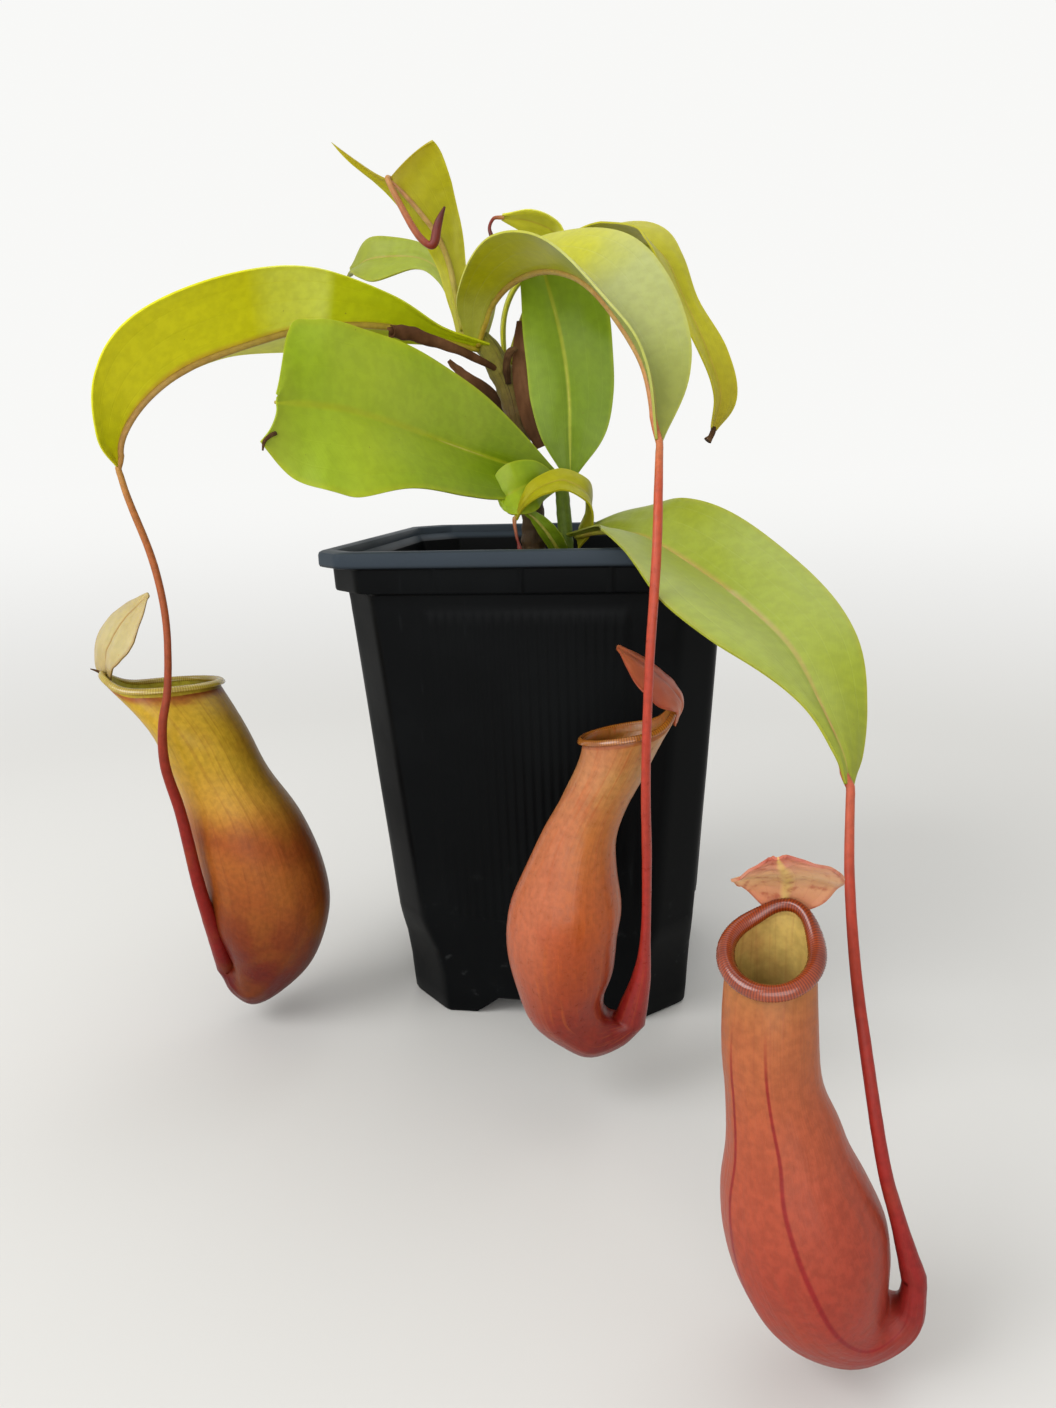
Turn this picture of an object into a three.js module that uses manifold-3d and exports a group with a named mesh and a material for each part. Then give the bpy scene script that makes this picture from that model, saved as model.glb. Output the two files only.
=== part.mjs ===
// A young pitcher plant in a square black nursery pot. Millimetres, +Z up.
//
// Every piece is planned with the pot's axis at x = y = 0 and its feet on z = 0. The finished plant is then
// moved sideways so that the middle of its footprint is the origin.
//
// Leaves are thin plates laid along a midrib, pitchers are hollow cups lofted through rings, and tendrils
// and stems are tapering round rods.
import * as THREE from "three";
import { mergeVertices } from "three/addons/utils/BufferGeometryUtils.js";
import Module from "manifold-3d";

const wasm = await Module();
wasm.setup();

// ---------------------------------------------------------------- driving dimensions

const GAP = 0.3; // clear space between two pieces that touch

const POT = {
  height: 135,
  lipHalf: 55, // half of the outer width across the lip
  lipDeep: 4.5,
  collarHalf: 50.5,
  collarDeep: 6.5,
  topHalf: 49.8, // body just under the collar
  baseHalf: 40.6,
  cornerTop: 9.7, // leg of the cut corner, at the top and at the base
  cornerBase: 8.8,
  lipCorner: 7.5,
  mouthHalf: 51, // opening inside the lip
  wall: 1.3,
  floorLow: 5, // underside of the floor: the feet are this high
  floorHigh: 7,
  footWall: 3,
  footInner: 19.3, // the feet end this far from the middle of each side
  notchTop: 12.4,
  drainRadius: 4,
  drainAt: 21,
};

const SOIL = { edge: 121, crown: 126, edgeHalf: 48 };

const LEAF_THICK = 1.1;
const CUP_WALL = 1.1;

const GREEN = new THREE.Color(0.36, 0.5, 0.06);
const LIME = new THREE.Color(0.52, 0.6, 0.08);
const DARK_GREEN = new THREE.Color(0.17, 0.26, 0.07);
const BROWN = new THREE.Color(0.2, 0.09, 0.04);
const CRIMSON = new THREE.Color(0.42, 0.08, 0.06);

// Leaves. rib runs from the stalk to the tip. across points from the midrib towards margin a, and margin b
// is opposite; roll turns the blade about its rib and fold lifts both halves towards the upper face, in
// degrees. halfA and halfB are half-widths in mm. Lists of numbers are spread evenly along the rib.
const LEAVES = {
  left_leaf: {
    rib: [
      [-17, -1, 188], [-29, -8, 191], [-42, -18, 194], [-59, -30, 193], [-74, -41, 188],
      [-87, -49, 182], [-97, -53, 174], [-103, -55, 165], [-104, -55, 158],
    ],
    across: [0.5, -0.85, 0],
    halfA: [3, 4, 9, 16, 21, 21, 16, 8, 1.5],
    halfB: [3, 5, 12, 19, 21, 19, 14, 8, 1.5],
    roll: [18, 38, 26, 24, 32],
    fold: [10, 24, 24],
    color: LIME,
  },
  front_leaf: {
    rib: [
      [2.5, -4, 151.5], [-10, -15, 156], [-21, -30, 161], [-31, -46, 166], [-39, -59, 169.5],
      [-44, -67, 170.5], [-47.5, -72.3, 170.8], [-50.6, -77, 171],
    ],
    across: [-0.86, 0.5, 0],
    halfA: [2, 11, 17, 21, 20, 19.5, 17, 2],
    halfB: [2, 12, 16, 18, 22, 20, 17, 9],
    shoulderB: 4,
    roll: [86, 78, 76, 84, 92],
    fold: [28, 11, -9],
    color: GREEN,
  },
  centre_leaf: {
    rib: [
      [-20, -2, 188], [-17, -5, 194], [-13, -10, 200], [-5, -19, 204], [6.5, -34, 203.5],
      [18, -50, 197], [28.5, -66, 183.5], [33.5, -75, 173], [35.5, -81, 160],
    ],
    across: [-0.75, -0.6, 0],
    halfA: [3, 7, 11, 15, 17, 16.5, 11.5, 7.5, 1.5],
    halfB: [3, 7.5, 12, 15, 16, 15.5, 13.5, 9.5, 1.5],
    roll: [1, -22, -11, 6, 14],
    fold: [39, 34, 50],
    color: LIME,
  },
  upright_leaf: {
    rib: [
      [7, -4, 152.5], [7, -4, 162], [7, -4, 173], [6, -4, 184], [4, -3, 194],
      [1.5, -2, 203], [-0.5, -1, 210], [-2, 1, 215],
    ],
    across: [1, 0, 0],
    halfA: [2.5, 10, 13, 14, 15, 14, 10, 2],
    halfB: [2.5, 8, 11, 11, 10, 8, 6, 2],
    roll: [0, -2, 0],
    fold: [12, 11, 10],
    color: GREEN,
  },
  right_leaf: {
    rib: [
      [6.5, -3.5, 135], [18, -24, 138], [25, -40, 138], [32, -54.5, 137.5], [42, -66, 132.5],
      [53, -81, 126], [62, -97, 119], [67, -110, 110.5], [70.5, -120, 103], [71.5, -124, 98],
    ],
    across: [0.86, 0.5, 0],
    halfA: [1.5, 7, 11, 14, 17.5, 17.5, 14.5, 10.5, 5, 1.5],
    halfB: [1.5, 3, 7, 13, 17.5, 21, 16, 5, 2, 1.5],
    roll: [4, 12, 2, -14],
    fold: [44, 18, -13],
    color: GREEN,
  },
  young_leaf: {
    rib: [
      [-24, 2, 192], [-26, 4, 202], [-28, 5, 212], [-31, 4, 220], [-35, 1, 226],
      [-39, -2, 231], [-42, -4, 234],
    ],
    across: [1, 0, 0.2],
    halfA: [2, 3, 5, 8, 12, 15, 15.5],
    halfB: [2, 3, 4, 5, 5, 6, 7],
    roll: [0, 3, -12],
    fold: [20, 25, 30],
    shoulderA: -2.5, // how far each half of the blade reaches beyond the end of the rib
    shoulderB: 17,
    color: LIME,
  },
  rear_left_leaf: {
    rib: [
      [-19, 2, 188], [-24.5, 7, 199], [-31, 14, 210], [-40, 21, 217], [-51, 27, 219.5],
      [-61, 31, 219.5], [-67.5, 34, 216],
    ],
    across: [0.7, 0.7, 0.3],
    halfA: [2, 3, 3.5, 4, 6, 7, 3],
    halfB: [2, 3, 3, 4, 11, 9, 3],
    roll: [0, 40, 38],
    fold: [16, 12, 25],
    color: GREEN,
  },
  rear_right_leaf: {
    rib: [
      [-12.5, 2.5, 180], [-7, 22, 201], [1, 34, 215], [12, 40, 222], [25, 42, 222],
      [33, 40, 216], [39, 35, 203], [46, 29, 187], [50, 25, 174], [48, 21, 164],
    ],
    across: [0.5, 0.86, 0],
    halfA: [1.5, 3, 6, 10, 11, 7, 5, 7, 6, 1.5],
    halfB: [1.5, 3, 6, 10, 13, 13, 10, 7, 5, 1.5],
    roll: [12, 9, 10],
    fold: [40, 24, 17],
    color: LIME,
  },
  rear_leaf: {
    rib: [
      [-11.5, 2.5, 174], [-14.5, 11, 194], [-11.5, 15, 206], [-4, 17, 212.5], [1.5, 16.3, 216],
      [1.5, 14.3, 220.5], [-5, 11.5, 223.5], [-13, 9, 224.5],
    ],
    across: [0.1, 1, -0.2],
    halfA: [2.5, 3, 3.5, 3.5, 3, 4, 4.5, 1],
    halfB: [2.5, 3, 3.5, 3.5, 3, 4, 4.5, 1],
    roll: [10, 38, 26],
    fold: [11, 4, 7],
    color: DARK_GREEN,
  },
  basal_round_leaf: {
    rib: [[4, -9, 150], [-1, -17, 150.5], [-5, -21, 149], [-9, -23, 147], [-11, -23, 146]],
    across: [0, 0.3, 1],
    halfA: [2, 6, 7.5, 6, 2],
    halfB: [2, 6, 7.5, 6, 2],
    roll: [0, 0],
    fold: [6, 10],
    color: GREEN,
  },
  basal_curled_leaf: {
    rib: [
      [9, -5, 134], [13, -12, 141], [13, -17, 147.5], [7, -20, 151], [1, -23, 149.5],
      [-3, -25, 146], [-6, -25, 141],
    ],
    across: [0.1, -0.75, -0.6],
    halfA: [4, 6, 5.5, 5, 4.5, 3.5, 1.2],
    halfB: [4, 6, 5, 4, 3.5, 2.5, 1.2],
    roll: [0, 0, 0],
    fold: [12, 12, 12],
    color: LIME,
  },
  basal_dark_leaf: {
    rib: [[4.5, -4, 128], [3, -10, 133], [0, -14, 138.5], [-4, -15, 142.5]],
    across: [0.8, -0.2, 0.3],
    halfA: [2, 3, 2.5, 1],
    halfB: [2, 3, 2.5, 1],
    roll: [0, 0],
    fold: [20, 20],
    color: DARK_GREEN,
  },
  dried_sheath: {
    rib: [[-1, -5, 160], [-4, -5, 168], [-6, -4, 178], [-7, -3, 187], [-7, -2, 195]],
    across: [1, 0, 0],
    halfA: [2, 3, 3.2, 2, 0.7],
    halfB: [2, 3, 3.2, 2.2, 0.7],
    roll: [0, 0],
    fold: [-20, -20],
    color: BROWN,
  },
  dried_strip: {
    rib: [[-10.5, 2, 169], [-19, 6, 177], [-26, 7, 182], [-30, 7, 186]],
    across: [0.3, 0.3, 0.8],
    halfA: [2, 1.8, 1.4, 0.6],
    halfB: [2, 1.8, 1.4, 0.6],
    roll: [0, 0],
    fold: [0, 0],
    color: BROWN,
  },
};

// Pitchers. rings holds, from the tendril to the mouth, the back and the front point of each ring in the
// pitcher's own upright plane: [out, height, out, height]. plane is that plane's level direction and foot its
// zero point. The mouth is a ring of its own that faces its own way. The lid is a small leaf over it.
const PITCHERS = {
  left: {
    foot: [-80, -48],
    plane: [0.9, 0.436],
    rings: [
      [-7.5, 18.5, -11.5, 14.5], [-6.5, 19.5, -9, 9], [-6, 21, -3.5, 5], [-7.5, 25.5, 5, 8.5],
      [-11.5, 34.5, 14.5, 17.5], [-15, 46, 20, 32], [-16.5, 57, 19, 46], [-17.5, 68, 14, 61],
      [-20.5, 79, 6, 75], [-25, 91, 1, 88],
    ],
    mouth: { at: [-101, -48, 98.5], radius: 15.4, faces: [-0.04, 0.08, 1] },
    tendril: {
      path: [
        [-101, -57, 149.5], [-94.5, -60, 134], [-90.5, -64, 119], [-89.5, -68.5, 103],
        [-91, -70.5, 93], [-92, -69.5, 82], [-90.4, -67.2, 68.5], [-88.7, -65.3, 49],
        [-88.2, -62, 36.5], [-88.6, -56.5, 24],
      ],
      radius: [1, 0.9, 0.9, 1, 1.2, 1.4, 1.6, 1.9, 2.1, 2.3],
      from: "left_leaf",
    },
    lid: {
      rib: [[-115.3, -52.8, 99.3], [-115.2, -53, 108], [-110, -52, 117], [-102, -51, 124.5]],
      across: [0.3, -0.95, 0],
      halfA: [2.5, 9.5, 9.5, 1],
      halfB: [2.5, 9, 8.5, 1],
      roll: [-28, -34],
      fold: [14, -20],
    },
    color: new THREE.Color(0.48, 0.22, 0.05),
  },
  centre: {
    foot: [23.5, -81],
    plane: [0.995, 0.1],
    rings: [
      [1, 24.5, 8.5, 22.5], [-1, 26, 3, 17], [-1.5, 27.5, -5, 14.3], [-1.5, 29, -11.5, 17],
      [-1, 32, -19, 23.5], [1, 37.5, -22.5, 33], [2, 46, -24.5, 43.5], [3, 53.5, -23.5, 53.5],
      [2, 63, -19.5, 63], [2, 70.5, -15, 72.5], [4.5, 78, -11.5, 78.5], [8.5, 85.5, -9, 83.5],
      [12, 92.5, -6.5, 88.5],
    ],
    mouth: { at: [28, -81, 95.3], radius: 11.3, faces: [-0.16, 0.08, 0.98] },
    tendril: {
      path: [
        [35.5, -86, 151.5], [35.4, -92, 139], [34.7, -94.5, 126], [34, -95.5, 115],
        [33.3, -95.5, 98], [33, -93.5, 84], [33, -90, 68.5], [32.5, -85.5, 50], [31.3, -82.5, 36.5],
      ],
      radius: [1, 1, 1, 1, 1, 1.1, 1.2, 1.5, 2.1],
      from: "centre_leaf",
    },
    lid: {
      rib: [[39.2, -80, 97.5], [40.4, -80, 102.5], [37.3, -81, 107.2], [32.4, -82, 111.8], [26.5, -83, 116]],
      across: [-0.1, -1, 0],
      halfA: [2, 5.5, 8.5, 7.5, 1],
      halfB: [2, 5.5, 8.5, 7.5, 1],
      roll: [0, -12],
      fold: [-4, -24],
    },
    color: new THREE.Color(0.55, 0.16, 0.05),
  },
  right: {
    foot: [65, -153],
    plane: [0.985, -0.17],
    rings: [
      [14.5, 21, 17.5, 19], [14, 18.5, 17, 12.5], [13, 17, 13, 7.5], [12, 17, 6.5, 4],
      [12, 20.5, -1.5, 5.5], [12, 25.5, -8.5, 10.5], [11, 31, -13.2, 18], [8, 37.5, -15.7, 26],
      [5, 43, -16.5, 34.5], [3, 48, -15.7, 43],
      [0, 55, -16, 53], [-1, 65, -17, 63],
    ],
    mouth: { at: [56.2, -151.5, 77.3], radius: 8.7, faces: [-0.12, -0.5, 0.86] },
    tendril: {
      path: [
        [70.7, -133, 84], [71, -142, 71], [72.3, -149, 59], [75, -154, 42], [78, -155, 31],
      ],
      radius: [0.9, 1, 1.1, 1.3, 1.6],
      from: "right_leaf",
    },
    lid: {
      rib: [[58.3, -143.6, 82.2], [59, -145, 87], [58.5, -149, 90.5], [57.5, -151.5, 93], [56.8, -153, 95]],
      across: [1, 0, 0],
      halfA: [1.5, 4, 6, 7.5, 9, 7.5, 5.5, 3.5, 1.5],
      halfB: [1.5, 4, 6, 7.5, 9, 7.5, 5.5, 3.5, 1.5],
      roll: [0, 0],
      fold: [-4, -8],
    },
    color: new THREE.Color(0.6, 0.2, 0.12),
  },
};

// Round rods that taper: stems, and the small tendrils of leaves that carry no pitcher yet.
const RODS = {
  main_stem: {
    path: [
      [-5, 0, 112], [-5, 0, 131], [-5, 0, 145], [-8, 0, 162], [-11, 0, 176], [-16, 0, 187],
      [-22, 0, 194],
    ],
    radius: [3.6, 3.6, 3.4, 3.2, 3.4, 3.6, 2.4],
    color: BROWN,
  },
  side_shoot: {
    path: [[5, -2, 112], [5, -2, 132], [4.5, -2, 143], [4, -3, 152]],
    radius: [2.2, 2.2, 2.2, 2],
    color: DARK_GREEN,
  },
  dried_rolled_leaf: {
    path: [[-13.5, -2, 182], [-23, -11, 187], [-30, -18, 189.5], [-35, -21.5, 191], [-38.5, -24.5, 191]],
    radius: [1, 1.6, 2, 2.1, 1.9],
    color: BROWN,
  },
  dried_stub: {
    path: [[-10.5, -3, 178], [-10.5, -5, 183], [-9.3, -5.3, 186.3], [-7.3, -5, 187.3]],
    radius: [0.9, 1, 1.1, 0.7],
    color: BROWN,
  },
  young_tendril: {
    path: [
      [-42, -5.6, 233], [-38.5, -6.5, 226], [-34.5, -7, 219], [-31.5, -7, 215.8], [-29.5, -7, 216],
      [-28, -7, 221], [-26, -7, 225],
    ],
    radius: [0.8, 1, 1, 1, 1.3, 1.1, 0.4],
    color: CRIMSON,
  },
  rear_tendril: {
    path: [[-13.4, 8.8, 224.6], [-15.3, 8.2, 224.3], [-16.4, 7.3, 221.8], [-15.6, 6.6, 218.8]],
    radius: [0.6, 0.5, 0.5, 0.7],
    color: CRIMSON,
  },
  rear_right_tendril: {
    path: [[47.7, 20.4, 163.2], [46.8, 19.8, 161.6], [46, 19.4, 160.6]],
    radius: [0.8, 0.9, 1.4],
    color: CRIMSON,
  },
  front_tendril: {
    path: [[-52.1, -79.2, 163.6], [-53.3, -80, 162.4], [-53.8, -80.2, 160.4]],
    radius: [0.9, 0.7, 0.5],
    color: BROWN,
  },
  basal_tendril: {
    path: [[-6.1, -25, 140.4], [-5.6, -25.5, 136.5], [-4.7, -26, 133], [-4.5, -26, 130.2]],
    radius: [0.6, 0.5, 0.7, 1.2],
    color: CRIMSON,
  },
};

// ---------------------------------------------------------------- curves and frames

const vector = (p) => new THREE.Vector3(...p);

const curveThrough = (points) =>
  new THREE.CatmullRomCurve3(
    points.map((p) => (p.isVector3 ? p : vector(p))),
    false,
    "catmullrom",
    0.5,
  );

// A list of numbers spread evenly along t = 0..1, read at t as a smooth curve.
function numberAlong(list, t) {
  return curveThrough(list.map((n) => [n, 0, 0])).getPoint(t).x;
}

// The part of `direction` that is square to `along`, with unit length.
function squareTo(along, direction) {
  return direction.clone().addScaledVector(along, -along.dot(direction)).normalize();
}

// ---------------------------------------------------------------- basic forms

// A closed rod through rows of rings. Each row has at, along, across, radius.
function loft(rows, sides) {
  const geometry = new THREE.CylinderGeometry(1, 1, 1, sides, rows.length - 1);
  const place = geometry.attributes.position;
  for (let i = 0; i < place.count; i++) {
    const row = rows[Math.round((0.5 - place.getY(i)) * (rows.length - 1))];
    const up = row.along.clone().cross(row.across);
    const p = row.at
      .clone()
      .addScaledVector(row.across, place.getX(i) * row.radius)
      .addScaledVector(up, place.getZ(i) * row.radius);
    place.setXYZ(i, p.x, p.y, p.z);
  }
  return geometry;
}

// A round rod along a path, its radius given at even steps.
function rod(path, radius, sides, steps, grow = 0) {
  const curve = curveThrough(path);
  const start = curve.getTangent(0);
  const reference = Math.abs(start.y) < 0.8 ? new THREE.Vector3(0, 1, 0) : new THREE.Vector3(1, 0, 0);
  let across = squareTo(start, reference);
  const rows = [];
  for (let k = 0; k <= steps; k++) {
    const t = k / steps;
    const along = curve.getTangent(t);
    across = squareTo(along, across);
    const end = k === 0 ? -grow : k === steps ? grow : 0;
    rows.push({
      at: curve.getPoint(t).addScaledVector(along, end),
      along,
      across,
      radius: numberAlong(radius, t) + grow,
    });
  }
  return loft(rows, sides);
}

// A thin blade along its rib: a box whose length follows the rib and whose width is folded about it.
function blade(leaf, thick, stepsAlong, stepsAcross, grow = 0) {
  const rib = curveThrough(leaf.rib);
  const reference = vector(leaf.across);
  const upperSide = (t) => squareTo(rib.getTangent(t), reference).cross(rib.getTangent(t));
  const sign = upperSide(0.5).z > 0 ? 1 : -1;
  const geometry = new THREE.BoxGeometry(1, 1, 1, stepsAlong, 1, stepsAcross);
  const place = geometry.attributes.position;
  for (let i = 0; i < place.count; i++) {
    const t = place.getX(i) + 0.5;
    const s = 2 * place.getZ(i) * sign;
    const along = rib.getTangent(t);
    const roll = THREE.MathUtils.degToRad(numberAlong(leaf.roll, t));
    const fold = THREE.MathUtils.degToRad(numberAlong(leaf.fold, t));
    const side = squareTo(along, reference);
    const face = side.clone().cross(along).multiplyScalar(sign);
    const rolledSide = side.clone().multiplyScalar(Math.cos(roll)).addScaledVector(face, Math.sin(roll));
    const rolledFace = face.clone().multiplyScalar(Math.cos(roll)).addScaledVector(side, -Math.sin(roll));
    const half = numberAlong(s > 0 ? leaf.halfA : leaf.halfB, t) + grow;
    const out = Math.abs(s) * half;
    const shoulder = (s > 0 ? leaf.shoulderA : leaf.shoulderB) ?? 0;
    const reach = shoulder * s * s * t ** 4 + (t === 0 ? -grow : t === 1 ? grow : 0);
    const height = place.getY(i) * (thick + 2 * grow);
    const lean = -Math.sign(s) * Math.sin(fold) * height;
    const p = rib
      .getPoint(t)
      .addScaledVector(along, reach)
      .addScaledVector(rolledSide, Math.sign(s) * out * Math.cos(fold) + lean)
      .addScaledVector(rolledFace, out * Math.sin(fold) + height * (s === 0 ? 1 : Math.cos(fold)));
    place.setXYZ(i, p.x, p.y, p.z);
  }
  return geometry;
}

// ---------------------------------------------------------------- joining and cutting

function solidOf(geometry) {
  const bare = geometry.clone();
  bare.deleteAttribute("normal");
  bare.deleteAttribute("uv");
  const merged = mergeVertices(bare, 1e-4);
  return new wasm.Manifold(
    new wasm.Mesh({
      numProp: 3,
      vertProperties: merged.attributes.position.array,
      triVerts: new Uint32Array(merged.index.array),
    }),
  );
}

function geometryOf(solid) {
  const mesh = solid.getMesh();
  const geometry = new THREE.BufferGeometry();
  geometry.setAttribute("position", new THREE.BufferAttribute(mesh.vertProperties, 3));
  geometry.setIndex(new THREE.BufferAttribute(mesh.triVerts, 1));
  return geometry;
}

const largestBody = (solid) =>
  solid.decompose().reduce((best, body) => (body.volume() > best.volume() ? body : best));

// ---------------------------------------------------------------- pot and potting mix

// An eight-sided tapering block: rows of [height, half width, corner leg].
function chamferedBlock(rows) {
  const geometry = new THREE.CylinderGeometry(1, 1, 1, 8, rows.length - 1);
  const place = geometry.attributes.position;
  for (let i = 0; i < place.count; i++) {
    const [height, half, leg] = rows[Math.round((0.5 + place.getY(i)) * (rows.length - 1))];
    const x = place.getX(i);
    const y = -place.getZ(i);
    const onAxis = Math.hypot(x, y) < 0.5;
    const eighth = Math.round(Math.atan2(y, x) / (Math.PI / 4));
    const corner = Math.round(Math.atan2(y, x) / (Math.PI / 2) - 0.25) * (Math.PI / 2) + Math.PI / 4;
    const sx = Math.sign(Math.round(Math.cos(corner) * 2));
    const sy = Math.sign(Math.round(Math.sin(corner) * 2));
    const alongX = [0, 3].includes((eighth + 8) % 4);
    if (onAxis) place.setXYZ(i, 0, 0, height);
    else if (alongX) place.setXYZ(i, sx * half, sy * (half - leg), height);
    else place.setXYZ(i, sx * (half - leg), sy * half, height);
  }
  return geometry;
}

function makePot() {
  const p = POT;
  const collarTop = p.height - p.lipDeep;
  const bodyTop = collarTop - p.collarDeep;
  const outside = solidOf(
    chamferedBlock([
      [0, p.baseHalf, p.cornerBase],
      [bodyTop, p.topHalf, p.cornerTop],
      [bodyTop + 0.4, p.collarHalf, p.cornerTop],
      [collarTop, p.collarHalf, p.cornerTop],
      [collarTop + 0.2, p.lipHalf, p.lipCorner],
      [p.height, p.lipHalf, p.lipCorner],
    ]),
  );
  const inside = solidOf(
    chamferedBlock([
      [p.floorHigh, p.baseHalf - p.wall + 0.5, p.cornerBase],
      [bodyTop, p.topHalf - p.wall, p.cornerTop],
      [collarTop, p.collarHalf - p.wall, p.cornerTop],
      [collarTop + 2, p.mouthHalf, p.lipCorner],
      [p.height + 1, p.mouthHalf, p.lipCorner],
    ]),
  );
  const under = solidOf(
    chamferedBlock([
      [-1, p.baseHalf - p.footWall, p.cornerBase],
      [p.floorLow, p.baseHalf - p.footWall, p.cornerBase],
    ]),
  );
  let pot = outside.subtract(inside).subtract(under);
  const arch = new THREE.Shape()
    .moveTo(-p.footInner, -1)
    .lineTo(p.footInner, -1)
    .lineTo(p.notchTop, p.floorLow)
    .lineTo(-p.notchTop, p.floorLow);
  const notch = new THREE.ExtrudeGeometry(arch, { depth: 3 * p.baseHalf, bevelEnabled: false })
    .translate(0, 0, -1.5 * p.baseHalf)
    .rotateX(Math.PI / 2);
  pot = pot.subtract(solidOf(notch)).subtract(solidOf(notch.clone().rotateZ(Math.PI / 2)));
  const drains = [[0, 0], [1, 1], [1, -1], [-1, 1], [-1, -1]];
  for (const [x, y] of drains) {
    const hole = new THREE.CylinderGeometry(p.drainRadius, p.drainRadius, 10, 16)
      .rotateX(Math.PI / 2)
      .translate(x * p.drainAt, y * p.drainAt, p.floorHigh);
    pot = pot.subtract(solidOf(hole));
  }
  return pot;
}

function makeSoil() {
  const p = POT;
  const bodyTop = p.height - p.lipDeep - p.collarDeep;
  const base = p.floorHigh + GAP;
  const slope = (p.topHalf - p.baseHalf - 0.5) / (bodyTop - p.floorHigh);
  const halfAt = (z) => p.baseHalf - p.wall + 0.5 + slope * (z - p.floorHigh) - GAP;
  const mix = solidOf(
    chamferedBlock([
      [base, halfAt(base), p.cornerBase],
      [SOIL.edge, halfAt(SOIL.edge), p.cornerTop],
      [SOIL.edge + 1.5, 40, 9],
      [SOIL.edge + 3, 26, 8],
      [SOIL.crown, 9, 3],
      [SOIL.crown + 0.2, 1, 0.3],
    ]),
  );
  return ["main_stem", "side_shoot"].reduce(
    (left, name) => left.subtract(solidOf(makeRod(RODS[name], GAP))),
    mix,
  );
}

// ---------------------------------------------------------------- plant pieces

const makeRod = (r, grow = 0) => rod(r.path, r.radius, 8, 4 * (r.path.length - 1), grow);

const makeLeaf = (leaf, grow = 0) =>
  blade(leaf, LEAF_THICK, 2 * (leaf.rib.length - 1), 4, grow);

// The rings of a pitcher: from the tendril up the outside, over the lip, and down the inside.
function pitcherRings(pitcher, grow = 0) {
  const level = new THREE.Vector3(...pitcher.plane, 0).normalize();
  const [topBack, , topFront] = pitcher.rings.at(-1);
  const flank = new THREE.Vector3(0, 0, 1).cross(level).multiplyScalar(Math.sign(topBack - topFront));
  const foot = new THREE.Vector3(...pitcher.foot, 0);
  const point = (out, height) => foot.clone().addScaledVector(level, out).setZ(height);
  const rings = pitcher.rings.map(([backOut, backUp, frontOut, frontUp]) => {
    const back = point(backOut, backUp);
    const front = point(frontOut, frontUp);
    return {
      at: back.clone().add(front).multiplyScalar(0.5),
      along: back.clone().sub(front).normalize().cross(flank),
      across: flank,
      radius: back.distanceTo(front) / 2 + grow,
    };
  });
  rings[0].at.addScaledVector(rings[0].along, -grow);
  return rings;
}

function makeCup(pitcher, grow = 0) {
  const rings = pitcherRings(pitcher, grow);
  const { at, radius, faces } = pitcher.mouth;
  const along = vector(faces).normalize();
  const across = squareTo(along, rings[0].across);
  // [height above the mouth, radius less than the mouth's] round the rolled lip
  const lip = [[-1.8, 1.6], [-1, 0.2], [0, 0], [0.8, 0.7], [0.9, 1.7], [0, 2.5], [-1.8, 2.7]];
  const lipRings = lip.map(([up, less], i) => ({
    at: vector(at).addScaledVector(along, up + (i > 2 ? grow : 0)),
    along,
    across,
    radius: radius - less + (i < 5 ? grow : -grow),
  }));
  const firstHollow = 4; // the foot of the cup is solid
  const inside = rings
    .slice(firstHollow)
    .reverse()
    .map((ring) => ({ ...ring, radius: ring.radius - 2 * grow - CUP_WALL }));
  const rows = [...rings, ...lipRings, ...inside].map((row) => ({ ...row }));
  return loft(rows, 16);
}

// The tendril leaves the tip of its leaf and meets the foot of its pitcher.
function tendrilPath(pitcher) {
  const leaf = curveThrough(LEAVES[pitcher.tendril.from].rib);
  return [leaf.getPoint(1), ...pitcher.tendril.path.map(vector), pitcherRings(pitcher)[0].at];
}

function makeTendril(pitcher) {
  const path = tendrilPath(pitcher);
  const radius = [LEAF_THICK, ...pitcher.tendril.radius, pitcherRings(pitcher)[0].radius];
  return rod(path, radius, 8, 4 * (path.length - 1));
}

const makeLid = (pitcher, grow = 0) => blade(pitcher.lid, 0.9, 8, 4, grow);

// ---------------------------------------------------------------- assembly

// Where two pieces meet, one gives way: each piece here stops short of the pieces listed after it.
const GIVES_WAY = {
  left_leaf: ["main_stem"],
  centre_leaf: ["main_stem", "left_leaf"],
  young_leaf: ["main_stem"],
  rear_leaf: ["main_stem", "rear_right_leaf"],
  rear_left_leaf: ["main_stem", "young_leaf"],
  rear_right_leaf: ["main_stem"],
  front_leaf: ["side_shoot"],
  upright_leaf: ["side_shoot", "front_leaf"],
  right_leaf: ["side_shoot"],
  basal_round_leaf: ["side_shoot", "front_leaf"],
  basal_curled_leaf: ["side_shoot", "right_leaf", "basal_round_leaf", "front_leaf"],
  basal_dark_leaf: ["side_shoot"],
  dried_sheath: ["main_stem", "upright_leaf"],
  dried_strip: ["main_stem", "rear_leaf", "rear_right_leaf"],
  dried_rolled_leaf: ["main_stem", "left_leaf"],
  dried_stub: ["main_stem"],
  young_tendril: ["young_leaf"],
  rear_tendril: ["rear_leaf"],
  rear_right_tendril: ["rear_right_leaf"],
  front_tendril: ["front_leaf"],
  basal_tendril: ["basal_curled_leaf"],
  left_tendril: ["left_leaf", "left_pitcher"],
  centre_tendril: ["centre_leaf", "centre_pitcher"],
  right_tendril: ["right_leaf", "right_pitcher"],
  left_lid: ["left_pitcher"],
  centre_lid: ["centre_pitcher"],
  right_lid: ["right_pitcher"],
};

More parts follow.
